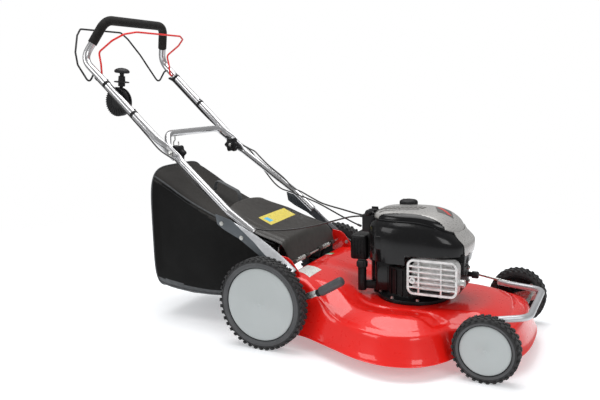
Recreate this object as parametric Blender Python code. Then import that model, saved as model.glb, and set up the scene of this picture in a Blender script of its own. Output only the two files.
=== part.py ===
"""Walk-behind rotary lawn mower: pressed steel deck, petrol engine, folding tube handle and rear grass bag.

Every length is in metres. The mower stands on z = 0, +X is its forward direction and +Y is its left side.
Pieces are modelled about the rear wheel axle and hang under one empty that centres the mower on the origin.
"""

import math

import bmesh
import bpy
import numpy as np
from mathutils import Matrix, Vector

# ---------------------------------------------------------------- driving dimensions
FRAME_SHIFT = (0.028, 0.030, 0.0)
GAP = 0.0004

REAR_RADIUS = 0.140
FRONT_RADIUS = 0.089
WHEELBASE = 0.655
REAR_FACE_Y = 0.3013
FRONT_FACE_Y = 0.278
REAR_WIDTH = 0.045
FRONT_WIDTH = 0.042
CRANK_ARM = (0.045, 0.012)
STUB_RADIUS = 0.008
LINK_ARM = 0.030

CRANK_AXIS = (0.400, -0.060)
BLADE_REACH = 0.236
BLADE_Z = 0.048
LIP_Z = 0.040
SHOULDER_Z = 0.120
PLATEAU_Z = 0.150
REAR_TOP_Z = 0.218
SHOULDER_INSET = 0.024
DECK_GAUGE = 0.0025

UPPER_TUBE = 0.0125
LOWER_TUBE = 0.0110
FOAM_RADIUS = 0.0160
BAIL_WIRE = 0.0032
JOINT = (-0.366, 0.573)
UPPER_Y = 0.2085
LOWER_Y = 0.2275
BRACKET_Y = 0.2405

FLAP_HINGE = (0.039, 0.238)
CABLE_RADIUS = 0.0026

REAR_PIVOT = (CRANK_ARM[0], REAR_RADIUS + CRANK_ARM[1])
FRONT_PIVOT = (WHEELBASE + CRANK_ARM[0], FRONT_RADIUS + CRANK_ARM[1])
RIGHT = -1
LEFT = 1

# name: colour, roughness, metallic
FINISHES = {
    "red_paint": ((0.72, 0.012, 0.010), 0.18, 0.0),
    "silver_paint": ((0.60, 0.61, 0.62), 0.38, 0.3),
    "bright_tube": ((0.75, 0.75, 0.76), 0.22, 1.0),
    "zinc_steel": ((0.55, 0.55, 0.56), 0.35, 1.0),
    "dark_steel": ((0.10, 0.10, 0.11), 0.5, 1.0),
    "cast_aluminium": ((0.55, 0.55, 0.55), 0.5, 1.0),
    "black_gloss": ((0.010, 0.010, 0.011), 0.12, 0.0),
    "black_plastic": ((0.025, 0.025, 0.026), 0.5, 0.0),
    "silver_plastic": ((0.52, 0.52, 0.53), 0.3, 0.5),
    "wheel_grey": ((0.50, 0.53, 0.53), 0.5, 0.0),
    "tyre_rubber": ((0.035, 0.035, 0.036), 0.85, 0.0),
    "foam": ((0.020, 0.020, 0.021), 0.9, 0.0),
    "bag_fabric": ((0.018, 0.018, 0.017), 0.95, 0.0),
    "cable_sheath": ((0.015, 0.015, 0.015), 0.45, 0.0),
    "belt_rubber": ((0.03, 0.03, 0.03), 0.8, 0.0),
}


def clear_scene():
    for obj in list(bpy.data.objects):
        bpy.data.objects.remove(obj, do_unlink=True)


def material(finish):
    found = bpy.data.materials.get(finish)
    if found:
        return found
    colour, roughness, metallic = FINISHES[finish]
    made = bpy.data.materials.new(finish)
    made.use_nodes = True
    shader = made.node_tree.nodes["Principled BSDF"]
    shader.inputs["Base Color"].default_value = (*colour, 1.0)
    shader.inputs["Roughness"].default_value = roughness
    shader.inputs["Metallic"].default_value = metallic
    return made


# ---------------------------------------------------------------- shape helpers
def smooth_step(value, low, high):
    t = min(1.0, max(0.0, (value - low) / (high - low)))
    return t * t * (3.0 - 2.0 * t)


def filleted(corners, radius, steps=5):
    """The polyline through corners with each inner corner rounded by an arc of about this radius."""
    points = [Vector(corners[0])]
    for before, corner, after in zip(corners, corners[1:], corners[2:]):
        corner = Vector(corner)
        back = (Vector(before) - corner).normalized()
        ahead = (Vector(after) - corner).normalized()
        half = back.angle(ahead) / 2
        room = 0.48 * min((Vector(before) - corner).length, (Vector(after) - corner).length)
        reach = min(radius / math.tan(half), room)
        start, end = corner + back * reach, corner + ahead * reach
        for i in range(steps + 1):
            t = i / steps
            points.append((1 - t) ** 2 * start + 2 * t * (1 - t) * corner + t * t * end)
    points.append(Vector(corners[-1]))
    return points


def smooth_curve(knots, count):
    """Catmull-Rom points through the knots, evenly spaced in the curve's own parameter."""
    knots = [Vector(knot) for knot in knots]
    padded = [2 * knots[0] - knots[1], *knots, 2 * knots[-1] - knots[-2]]
    points = []
    for i in range(count):
        at = i * (len(knots) - 1) / (count - 1)
        span = min(int(at), len(knots) - 2)
        t = at - span
        a, b, c, d = padded[span : span + 4]
        points.append(
            0.5
            * (2 * b + (c - a) * t + (2 * a - 5 * b + 4 * c - d) * t * t + (3 * b - a - 3 * c + d) * t**3)
        )
    return points


def closed_curve(knots, count):
    """Catmull-Rom points round a closed plan outline."""
    total = len(knots)
    points = []
    for i in range(count):
        at = i * total / count
        span = int(at)
        t = at - span
        a, b, c, d = (Vector(knots[(span + k) % total]) for k in (-1, 0, 1, 2))
        points.append(
            0.5
            * (2 * b + (c - a) * t + (2 * a - 5 * b + 4 * c - d) * t * t + (3 * b - a - 3 * c + d) * t**3)
        )
    return points


def refined(points, joint, reach, step):
    """Adds points to the path where it passes within reach of the joint in side view."""
    dense = []
    for a, b in zip(points, points[1:]):
        cuts = max(1, round((b - a).length / step))
        for k in range(cuts):
            p = a + (b - a) * (k / cuts)
            if k == 0 or math.hypot(p.x - joint.x, p.z - joint.z) < reach:
                dense.append(p)
    return [*dense, points[-1]]


def mirrored(points):
    """The points followed by their mirror images across the middle, so a half outline becomes whole."""
    return list(points) + [Vector((p[0], -p[1], p[2])) for p in reversed([Vector(p) for p in points])]


class Piece:
    """A mesh under construction, turned into one object with one material at the end."""

    def __init__(self, name, finish):
        self.name = name
        self.finish = finish
        self.bm = bmesh.new()

    def finish_object(self, origin=(0, 0, 0), smooth=True):
        bmesh.ops.remove_doubles(self.bm, verts=self.bm.verts, dist=1e-6)
        bmesh.ops.recalc_face_normals(self.bm, faces=self.bm.faces)
        bmesh.ops.translate(self.bm, verts=self.bm.verts, vec=-Vector(origin))
        mesh = bpy.data.meshes.new(self.name)
        self.bm.to_mesh(mesh)
        self.bm.free()
        obj = bpy.data.objects.new(self.name, mesh)
        bpy.context.scene.collection.objects.link(obj)
        obj.location = origin
        obj.parent = bpy.data.objects["mower_frame"]
        mesh.materials.append(material(self.finish))
        if smooth:
            mesh.shade_smooth()
            mesh.set_sharp_from_angle(angle=math.radians(35))
        return obj


def add_rings(bm, rings, closed_ring=True, cap=True, loop=False):
    """Skins a list of equal rings of points; caps the two ends, or joins the last ring to the first."""
    made = [[bm.verts.new(p) for p in ring] for ring in rings]
    count = len(made[0])
    pairs = list(zip(made, made[1:] + ([made[0]] if loop else [])))
    if not loop:
        pairs = list(zip(made, made[1:]))
    for one, two in pairs:
        for i in range(count if closed_ring else count - 1):
            j = (i + 1) % count
            bm.faces.new((one[i], one[j], two[j], two[i]))
    if cap and not loop:
        bm.faces.new(made[0])
        bm.faces.new(made[-1])


def add_cup(bm, outer, inner):
    """Two nested skins, each closed at its last ring and joined to each other at the first."""
    for rings in (outer, inner):
        add_rings(bm, rings, cap=False)
    bm.verts.ensure_lookup_table()
    count = len(outer[0])
    start = len(bm.verts) - count * (len(outer) + len(inner))
    rows = [bm.verts[start + i * count : start + (i + 1) * count] for i in range(len(outer) + len(inner))]
    bm.faces.new(rows[len(outer) - 1])
    bm.faces.new(rows[-1])
    for i in range(count):
        j = (i + 1) % count
        bm.faces.new((rows[0][i], rows[0][j], rows[len(outer)][j], rows[len(outer)][i]))


def lathe(name, finish, profile, centre, axis="Y", segments=40):
    """Turns a closed (radius, height) profile about an axis through centre. Heights are along the axis."""
    piece = Piece(name, finish)
    rings = []
    for i in range(segments):
        a = 2 * math.pi * (i + 0.5) / segments
        c, s = math.cos(a), math.sin(a)
        if axis == "Y":
            rings.append([(centre[0] + r * c, h, centre[1] + r * s) for r, h in profile])
        elif axis == "Z":
            rings.append([(centre[0] + r * c, centre[1] + r * s, h) for r, h in profile])
        else:
            rings.append([(h, centre[0] + r * c, centre[1] + r * s) for r, h in profile])
    add_rings(piece.bm, rings, loop=True)
    tiny = [e for e in piece.bm.edges if e.calc_length() < 1e-7]
    bmesh.ops.collapse(piece.bm, edges=tiny)
    return piece


def lathe_object(name, finish, profile, centre, axis="Y", segments=40, origin=None):
    piece = lathe(name, finish, profile, centre, axis, segments)
    if origin is None:
        middle = (profile[0][1] + profile[-1][1]) / 2
        origin = {
            "Y": (centre[0], middle, centre[1]),
            "Z": (centre[0], centre[1], middle),
            "X": (middle, centre[0], centre[1]),
        }[axis]
    return piece.finish_object(origin)


def ring_frames(points):
    """Each point with two side vectors, turned as little as possible along the path."""
    points = [Vector(p) for p in points]
    tangents = []
    for i in range(len(points)):
        ahead = points[min(i + 1, len(points) - 1)] - points[max(i - 1, 0)]
        tangents.append(ahead.normalized())
    side = tangents[0].cross(Vector((0, 1, 0)))
    if side.length < 0.2:
        side = tangents[0].cross(Vector((0, 0, 1)))
    side.normalize()
    frames = []
    for i, tangent in enumerate(tangents):
        if i:
            side = (side - tangent * side.dot(tangent)).normalized()
        frames.append((points[i], side, tangent.cross(side)))
    return frames


def tube_rings(points, radius, sides=12, bore=0.0, flat=None):
    """Rings along a path. flat(i) gives the (side, normal) stretch of ring i; bore makes it hollow."""
    frames = ring_frames(points)
    rings = []
    for i, (centre, u, v) in enumerate(frames):
        su, sv = flat(i) if flat else (1.0, 1.0)
        outer = [
            centre
            + u * (radius * su * math.cos(2 * math.pi * k / sides))
            + v * (radius * sv * math.sin(2 * math.pi * k / sides))
            for k in range(sides)
        ]
        rings.append(outer)
    if not bore:
        return rings, None
    turns = [2 * math.pi * k / sides for k in range(sides)]
    inner = [[c + u * bore * math.cos(a) + v * bore * math.sin(a) for a in turns] for c, u, v in frames]
    return rings, inner


def tube(name, finish, points, radius, sides=12, bore=0.0, flat=None, origin=(0, 0, 0)):
    piece = Piece(name, finish)
    outer, inner = tube_rings(points, radius, sides, bore, flat)
    if inner is None:
        add_rings(piece.bm, outer)
    else:
        add_rings(piece.bm, outer + inner[::-1], loop=True)
    return piece.finish_object(origin)


def prism_rings(outline, plane, low, high):
    """The outline at two heights. plane XY stands along Z, XZ along Y and YZ along X."""
    place = {
        "XY": lambda a, b, h: (a, b, h),
        "XZ": lambda a, b, h: (a, h, b),
        "YZ": lambda a, b, h: (h, a, b),
    }[plane]
    return [[place(p[0], p[1], h) for p in outline] for h in (low, high)]


def prism(name, finish, outline, plane, low, high, origin=(0, 0, 0), smooth=True):
    piece = Piece(name, finish)
    add_rings(piece.bm, prism_rings(outline, plane, low, high))
    return piece.finish_object(origin, smooth)


def rounded_box_outline(low, high, radius, steps=3):
    outline = []
    corners = ((high[0], high[1], 0), (low[0], high[1], 90), (low[0], low[1], 180), (high[0], low[1], 270))
    for x, y, start in corners:
        cx = x - radius if start in (0, 270) else x + radius
        cy = y - radius if start in (0, 90) else y + radius
        for i in range(steps + 1):
            a = math.radians(start + 90 * i / steps)
            outline.append((cx + radius * math.cos(a), cy + radius * math.sin(a)))
    return outline


def capsule_outline(start, end, start_radius, end_radius, steps=5):
    """The plan of a flat link with a round boss at each end."""
    start, end = Vector(start), Vector(end)
    along = math.atan2(end.y - start.y, end.x - start.x)
    outline = []
    for centre, radius, turn in ((start, start_radius, math.pi / 2), (end, end_radius, -math.pi / 2)):
        for i in range(steps + 1):
            a = along + turn + math.pi * i / steps
            outline.append((centre.x + radius * math.cos(a), centre.y + radius * math.sin(a)))
    return outline


def circle_outline(centre, radius, sides=16):
    turns = [2 * math.pi * i / sides for i in range(sides)]
    return [(centre[0] + radius * math.cos(a), centre[1] + radius * math.sin(a)) for a in turns]


def helper(rings, loop=False):
    """A hidden solid used as a Boolean operand."""
    piece = Piece("helper", "black_plastic")
    add_rings(piece.bm, rings, loop=loop)
    obj = piece.finish_object(smooth=False)
    obj.hide_render = True
    obj.display_type = "WIRE"
    return obj


def post(plane, centre, radius, low, high, sides=16):
    return helper(prism_rings(circle_outline(centre, radius, sides), plane, low, high))


def block(low, high):
    corners = [(low[0], low[1]), (high[0], low[1]), (high[0], high[1]), (low[0], high[1])]
    return helper(prism_rings(corners, "XY", low[2], high[2]))


def combine(obj, joins=(), cuts=()):
    """Applies the unions and then the cuts to obj, and removes the helpers."""
    for operation, operands in (("UNION", joins), ("DIFFERENCE", cuts)):
        for operand in operands:
            modifier = obj.modifiers.new(operation, "BOOLEAN")
            modifier.operation = operation
            modifier.solver = "EXACT"
            modifier.object = operand
    bpy.context.view_layer.update()
    graph = bpy.context.evaluated_depsgraph_get()
    mesh = bpy.data.meshes.new_from_object(obj.evaluated_get(graph), depsgraph=graph)
    obj.modifiers.clear()
    obj.data = mesh
    mesh.set_sharp_from_angle(angle=math.radians(35))
    for operand in (*joins, *cuts):
        bpy.data.objects.remove(operand, do_unlink=True)
    return obj


def cord(name, knots, count, radius=CABLE_RADIUS):
    curve = bpy.data.curves.new(name, "CURVE")
    curve.dimensions = "3D"
    curve.bevel_depth = radius
    curve.bevel_resolution = 2
    curve.use_fill_caps = True
    spline = curve.splines.new("POLY")
    points = smooth_curve(knots, count)
    spline.points.add(len(points) - 1)
    for spot, point in zip(spline.points, points):
        spot.co = (*point, 1.0)
    obj = bpy.data.objects.new(name, curve)
    bpy.context.scene.collection.objects.link(obj)
    obj.parent = bpy.data.objects["mower_frame"]
    curve.materials.append(material("cable_sheath"))
    return obj


# ---------------------------------------------------------------- deck
DECK_LIP = (
    (0.040, -0.228),
    (0.075, -0.242),
    (0.125, -0.249),
    (0.231, -0.300),
    (0.327, -0.345),
    (0.409, -0.359),
    (0.478, -0.343),
    (0.522, -0.309),
    (0.551, -0.268),
    (0.567, -0.238),
    (0.605, -0.2290),
    (0.672, -0.2215),
    (0.715, -0.188),
    (0.738, -0.110),
    (0.743, 0.000),
    (0.733, 0.105),
    (0.700, 0.172),
    (0.630, 0.210),
    (0.520, 0.229),
    (0.350, 0.236),
    (0.180, 0.238),
    (0.075, 0.240),
    (0.040, 0.228),
    (0.022, 0.195),
    (0.018, 0.100),
    (0.018, -0.100),
    (0.022, -0.195),
)


def deck_height(x, fraction):
    """Top of the deck. fraction is 1 at the shoulder and falls towards the crank axis."""
    ridge = PLATEAU_Z + (REAR_TOP_Z - PLATEAU_Z) * (1 - smooth_step(x, 0.06, 0.30))
    shoulder = SHOULDER_Z + (REAR_TOP_Z - 0.004 - SHOULDER_Z) * (1 - smooth_step(x, 0.08, 0.26))
    return shoulder + (ridge - shoulder) * smooth_step(1 - fraction, 0.0, 0.32)


def deck_surface(drop):
    """Rings of the deck's skin from the lip inwards. drop is the distance inside the outer skin."""
    outline = closed_curve([Vector((x, y, 0)) for x, y in DECK_LIP], 2 * len(DECK_LIP))
    centre = Vector((*CRANK_AXIS, 0))
    normals = []
    for i in range(len(outline)):
        along = outline[(i + 1) % len(outline)] - outline[i - 1]
        normals.append(Vector((-along.y, along.x, 0)).normalized())
    lip = [p + n * drop for p, n in zip(outline, normals)]
    shoulder = [p + n * (SHOULDER_INSET + drop * 0.7) for p, n in zip(outline, normals)]
    rings = [[Vector((p.x, p.y, LIP_Z)) for p in lip]]
    rings.append([Vector((p.x, p.y, deck_height(p.x, 1.0) - 0.010)) for p in shoulder])
    for fraction, least in ((0.97, 0.0), (0.84, 0.0), (0.66, 0.140), (0.45, 0.128)):
        ring = []
        for p in shoulder:
            q = centre + (p - centre).normalized() * max(least, (p - centre).length * fraction)
            ring.append(Vector((q.x, q.y, deck_height(q.x, fraction) - drop)))
        rings.append(ring)
    for radius in (0.114, 0.040):
        seat = [centre + (p - centre).normalized() * radius for p in shoulder]
        rings.append([Vector((q.x, q.y, PLATEAU_Z - drop)) for q in seat])
    return rings


def make_deck():
    piece = Piece("deck_shell", "red_paint")
    add_rings(piece.bm, deck_surface(0.0) + deck_surface(DECK_GAUGE)[::-1], loop=True)
    deck = piece.finish_object()
    ears = []
    for side in (RIGHT, LEFT):
        outline = [(0.018, 0.200), (0.090, 0.195), (0.090, 0.226), (0.060, 0.262), (0.018, 0.272)]
        low, high = sorted((side * 0.2045, side * 0.2085))
        ears.append(helper(prism_rings(outline, "XZ", low, high)))
    cuts = [block((-0.05, -0.165, -0.1), (0.085, 0.165, REAR_TOP_Z - 0.012))]
    cuts.append(post("XZ", REAR_PIVOT, 0.0090, -0.3, 0.3))
    cuts.append(post("XZ", FRONT_PIVOT, 0.0075, -0.3, 0.3))
    combine(deck, ears, cuts)


def make_front_bumper():
    half = [(0.600, 0.2035, 0.1395), (0.745, 0.139, 0.148)]
    corners = mirrored(half)
    points = filleted(corners, 0.034)

    def flat(i):
        at_end = min(i, len(points) - 1 - i) == 0
        return (0.9, 0.45) if at_end else (1.0, 1.0)

    tube("front_bumper", "silver_paint", points, 0.0095, 12, flat=flat)


# ---------------------------------------------------------------- wheels, axles and height adjuster
def make_wheel(prefix, x, radius, side, face_y, width, bead, gear):
    """Tyre, rim and cover disc of a wheel. bead is the tyre's inner radius, gear that of the driven ring."""
    inner_y = face_y - width
    soft = 0.006

    def at(profile):
        return [(r, side * y) for r, y in profile]

    centre = (x, radius)
    segments = 24 if radius > 0.1 else 20
    outer = radius / math.cos(math.pi / segments)
    tyre = [
        (bead, inner_y + 0.003),
        (outer - soft, inner_y),
        (outer, inner_y + soft),
        (outer, face_y - soft),
        (outer - soft, face_y),
        (bead, face_y - 0.003),
    ]
    place = (x, side * (face_y - width / 2), radius)
    lathe_object(f"{prefix}_tyre", "tyre_rubber", at(tyre), centre, "Y", segments, place)
    web_low, web_high = face_y - 0.0255, face_y - 0.0215
    gear_ring = [
        (gear, web_low),
        (gear, inner_y + 0.006),
        (gear + 0.006, inner_y + 0.006),
        (gear + 0.006, web_low),
    ]
    rim = [
        (STUB_RADIUS + GAP, inner_y + 0.005),
        (0.018, inner_y + 0.005),
        (0.018, web_low),
        *(gear_ring if gear else []),
        (bead - 0.008, web_low),
        (bead - 0.008, inner_y + 0.004),
        (bead - GAP, inner_y + 0.004),
        (bead - GAP, face_y - 0.0055),
        (bead - 0.008, face_y - 0.0055),
        (bead - 0.008, web_high),
        (0.018, web_high),
        (0.018, face_y - 0.0105),
        (STUB_RADIUS + GAP, face_y - 0.0105),
    ]
    lathe_object(f"{prefix}_rim", "wheel_grey", at(rim), centre, "Y", segments, place)
    cover = [
        (0.0, face_y - 0.0030),
        (bead - 0.010, face_y - 0.0045),
        (bead - 0.0020, face_y - 0.0050),
        (bead - 0.014, face_y - 0.0006),
        (0.0, face_y - 0.0002),
    ]
    lathe_object(f"{prefix}_cover", "wheel_grey", at(cover), centre, "Y", segments, place)


def make_wheels():
    for side, word in ((RIGHT, "right"), (LEFT, "left")):
        make_wheel(f"rear_{word}", 0.0, REAR_RADIUS, side, REAR_FACE_Y, REAR_WIDTH, 0.1125, 0.0620)
        make_wheel(f"front_{word}", WHEELBASE, FRONT_RADIUS, side, FRONT_FACE_Y, FRONT_WIDTH, 0.0690, 0.0)


def axle_arm(side, wheel, pivot, near_y, far_y, face_y, bore):
    """One crank arm with its stub axle, and the bore for the shaft it swings on."""
    low, high = sorted((side * near_y, side * far_y))
    joins = [helper(prism_rings(capsule_outline(wheel, pivot, 0.015, 0.018), "XZ", low, high))]
    low, high = sorted((side * (near_y + 0.001), side * (face_y - 0.0075)))
    joins.append(post("XZ", wheel, STUB_RADIUS, low, high))
    cuts = []
    if bore:
        low, high = sorted((side * near_y, side * far_y))
        cuts.append(post("XZ", pivot, bore, low - 0.01, high + 0.01))
    return joins, cuts


def make_rear_axle():
    """Both rear arms, their cross bar and the height lever are one welded frame."""
    bar = (-0.005, 0.115)
    wheel = (0.0, REAR_RADIUS)
    frame = prism("rear_axle_frame", "dark_steel", circle_outline(bar, 0.006, 12), "XZ", -0.2530, 0.2530)
    joins, cuts = [], []
    for side in (RIGHT, LEFT):
        arm_joins, arm_cuts = axle_arm(side, wheel, REAR_PIVOT, 0.2475, 0.2535, REAR_FACE_Y, 0.0078)
        joins += arm_joins
        cuts += arm_cuts
        low, high = sorted((side * 0.2475, side * 0.2535))
        joins.append(helper(prism_rings(capsule_outline(bar, REAR_PIVOT, 0.010, 0.016), "XZ", low, high)))
    lever = [(0.045, 0.136), (0.110, 0.148), (0.172, 0.176), (0.164, 0.192), (0.104, 0.166), (0.045, 0.170)]
    joins.append(helper(prism_rings(lever, "XZ", -0.2535, -0.2475)))
    grip_start, grip_end = Vector((0.160, -0.2505, 0.1765)), Vector((0.232, -0.2505, 0.2195))
    joins.append(helper(tube_rings([grip_start, grip_end], 0.0055, 8)[0]))
    low, high = 0.2475, 0.2535
    tip = (REAR_PIVOT[0], REAR_PIVOT[1] + LINK_ARM)
    joins.append(helper(prism_rings(capsule_outline(REAR_PIVOT, tip, 0.014, 0.009), "XZ", low, high)))
    joins.append(post("XZ", tip, 0.0035, 0.2320, 0.2500, 8))
    combine(frame, joins, cuts)
    start = Vector((0.178, -0.2505, 0.1873))
    end = Vector((0.2475, -0.2505, 0.2288))
    stop = start + (end - start) * 0.90
    stations = [start, start + (end - start) * 0.10, start + (end - start) * 0.12, end]
    outer, _ = tube_rings(stations, 0.0138, 14)
    outer[0] = [start + (p - start) * 0.92 for p in outer[0]]
    inner, _ = tube_rings([start, stop], 0.0055 + GAP, 8)
    grip = Piece("height_lever_grip", "black_plastic")
    add_rings(grip.bm, outer)
    combine(grip.finish_object(), (), [helper([[p - (end - start) * 0.05 for p in inner[0]], inner[1]])])


def make_front_axle():
    wheel = (WHEELBASE, FRONT_RADIUS)
    axle = prism("front_axle", "dark_steel", circle_outline(FRONT_PIVOT, 0.006, 12), "XZ", -0.2330, 0.2330)
    joins = []
    for side in (RIGHT, LEFT):
        joins += axle_arm(side, wheel, FRONT_PIVOT, 0.2285, 0.2335, FRONT_FACE_Y, 0.0)[0]
    tip = (FRONT_PIVOT[0], FRONT_PIVOT[1] + LINK_ARM)
    joins.append(helper(prism_rings(capsule_outline(FRONT_PIVOT, tip, 0.012, 0.008), "XZ", 0.2285, 0.2335)))
    joins.append(post("XZ", tip, 0.0035, 0.2170, 0.2300, 8))
    combine(axle, joins)


def make_link_rod():
    """Bent rod that ties the rear height lever to the front axle, with an eye on a pin at each end."""
    rear = Vector((REAR_PIVOT[0], 0.2385, REAR_PIVOT[1] + LINK_ARM))
    front = Vector((FRONT_PIVOT[0], 0.2225, FRONT_PIVOT[1] + LINK_ARM))
    bends = [rear, (0.130, 0.2385, 0.1950), (0.500, 0.2285, 0.1580), (0.620, 0.2225, 0.1390), front]
    rod = tube("height_link_rod", "dark_steel", filleted(bends, 0.03, 2), 0.0045, 8, origin=rear)
    eyes = []
    bores = []
    for centre in (rear, front):
        spot = (centre.x, centre.z)
        eyes.append(post("XZ", spot, 0.0085, centre.y - 0.0035, centre.y + 0.0035))
        bores.append(post("XZ", spot, 0.0041, centre.y - 0.02, centre.y + 0.02, 12))
    combine(rod, eyes, bores)


# ---------------------------------------------------------------- drive line under the deck
def make_drive_line():
    x, y = CRANK_AXIS
    shaft = [(0.0, 0.052), (0.0110, 0.052), (0.0110, 0.330), (0.0, 0.330)]
    lathe_object("crankshaft", "dark_steel", shaft, CRANK_AXIS, "Z", 16)
    pulley = [
        (0.0113, 0.054),
        (0.0300, 0.054),
        (0.0300, 0.0600),
        (0.0200, 0.0640),
        (0.0200, 0.1085),
        (0.0340, 0.1085),
        (0.0340, 0.1105),
        (0.0270, 0.1140),
        (0.0270, 0.1190),
        (0.0340, 0.1225),
        (0.0340, 0.1245),
        (0.0113, 0.1245),
    ]
    lathe_object("blade_hub_pulley", "cast_aluminium", pulley, CRANK_AXIS, "Z", 18)
    tip = BLADE_REACH
    half = [(tip, -0.004), (tip - 0.013, 0.028), (-0.150, 0.028)]
    outline = [(x + a, y + b) for a, b in half] + [(x - a, y - b) for a, b in half]
    blade = prism("cutting_blade", "dark_steel", outline, "XY", BLADE_Z, BLADE_Z + 0.0035)
    wings = []
    for turn in (1, -1):
        wing = [(0.160, 0.0020), (0.222, 0.0020), (0.222, 0.0240), (0.219, 0.0280), (0.160, 0.0280)]
        low = [(x + turn * a, y + turn * b, BLADE_Z + 0.0030) for a, b in wing]
        rise = [0.0060 if b < 0.01 else 0.0200 for _, b in wing]
        high = [(x + turn * a, y + turn * (b + 0.004), BLADE_Z + up) for (a, b), up in zip(wing, rise)]
        wings.append(helper([low, high]))
    combine(blade, wings, [post("XY", CRANK_AXIS, 0.0062, 0.0, 0.1)])
    seat = BLADE_Z - GAP
    bolt = [(0.0, 0.0405), (0.0110, 0.0405), (0.0110, seat), (0.0058, seat), (0.0058, 0.0517), (0.0, 0.0517)]
    lathe_object("blade_bolt", "zinc_steel", bolt, CRANK_AXIS, "Z", 12)
    wheel_profile = [
        (0.0113, 0.312),
        (0.045, 0.312),
        (0.070, 0.306),
        (0.088, 0.306),
        (0.088, 0.330),
        (0.070, 0.330),
        (0.045, 0.318),
        (0.0113, 0.318),
    ]
    lathe_object("flywheel", "cast_aluminium", wheel_profile, CRANK_AXIS, "Z", 20)

    pulley_x = 0.100
    case_plan = rounded_box_outline((0.012, 0.124), (0.118, 0.180), 0.014)
    gear_case = prism("gearbox", "cast_aluminium", case_plan, "XZ", -0.030, 0.030)
    cuts = [post("XZ", REAR_PIVOT, 0.0078, -0.05, 0.05), post("XY", (pulley_x, 0.0), 0.0054, 0.1, 0.14, 12)]
    combine(gear_case, (), cuts)
    pulley = [
        (0.0, 0.1080),
        (0.0400, 0.1080),
        (0.0400, 0.1105),
        (0.0330, 0.1140),
        (0.0330, 0.1190),
        (0.0400, 0.1225),
        (0.0400, 0.1232),
        (0.0050, 0.1232),
        (0.0050, 0.1380),
        (0.0, 0.1380),
    ]
    lathe_object("gearbox_pulley", "black_plastic", pulley, (pulley_x, 0.0), "Z", 18)
    make_belt((pulley_x, 0.0), 0.0333, CRANK_AXIS, 0.0273)
    shaft = [
        (0.0, -0.2750),
        (0.0120, -0.2750),
        (0.0120, -0.2575),
        (0.0072, -0.2575),
        (0.0072, 0.2575),
        (0.0120, 0.2575),
        (0.0120, 0.2750),
        (0.0, 0.2750),
    ]
    lathe_object("drive_shaft", "dark_steel", shaft, REAR_PIVOT, "Y", 16, (REAR_PIVOT[0], 0, REAR_PIVOT[1]))


def make_belt(one, one_radius, two, two_radius):
    """A V-belt wrapped round two pulleys, as an outer and an inner loop of the same points."""
    one, two = Vector(one), Vector(two)
    across = two - one
    heading = math.atan2(across.y, across.x)
    spread = math.acos((one_radius - two_radius) / across.length)
    rings = []
    stations = []
    for i in range(13):
        stations.append((one, one_radius, heading + spread + (2 * math.pi - 2 * spread) * i / 12))
    for i in range(13):
        stations.append((two, two_radius, heading - spread + 2 * spread * i / 12))
    for centre, radius, a in stations:
        out = Vector((math.cos(a), math.sin(a)))
        inner = centre + out * (radius + GAP)
        outer = centre + out * (radius + 0.0060)
        section = ((inner, 0.1146), (outer, 0.1125), (outer, 0.1205), (inner, 0.1184))
        rings.append([(spot.x, spot.y, z) for spot, z in section])
    piece = Piece("drive_belt", "belt_rubber")
    add_rings(piece.bm, rings, loop=True)
    piece.finish_object()


# ---------------------------------------------------------------- engine
def superellipse(centre, half_x, half_y, power, count=28):
    outline = []
    for i in range(count):
        a = 2 * math.pi * i / count
        c, s = math.cos(a), math.sin(a)
        outline.append(
            (
                centre[0] + half_x * math.copysign(abs(c) ** (2 / power), c),
                centre[1] + half_y * math.copysign(abs(s) ** (2 / power), s),
            )
        )
    return outline


COWL_CENTRE = (0.412, -0.050)


def cowl_ring(half_x, half_y, z, tilt=0.0, shift=0.0):
    """One level of the engine cowl. tilt lowers the front as a share of the distance from the centre."""
    ring = []
    for px, py in superellipse((COWL_CENTRE[0] + shift, COWL_CENTRE[1]), half_x, half_y, 2.9):
        fall = max(0.0, px - COWL_CENTRE[0]) ** 2 * tilt
        ring.append((px, py, z - fall))
    return ring


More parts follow.
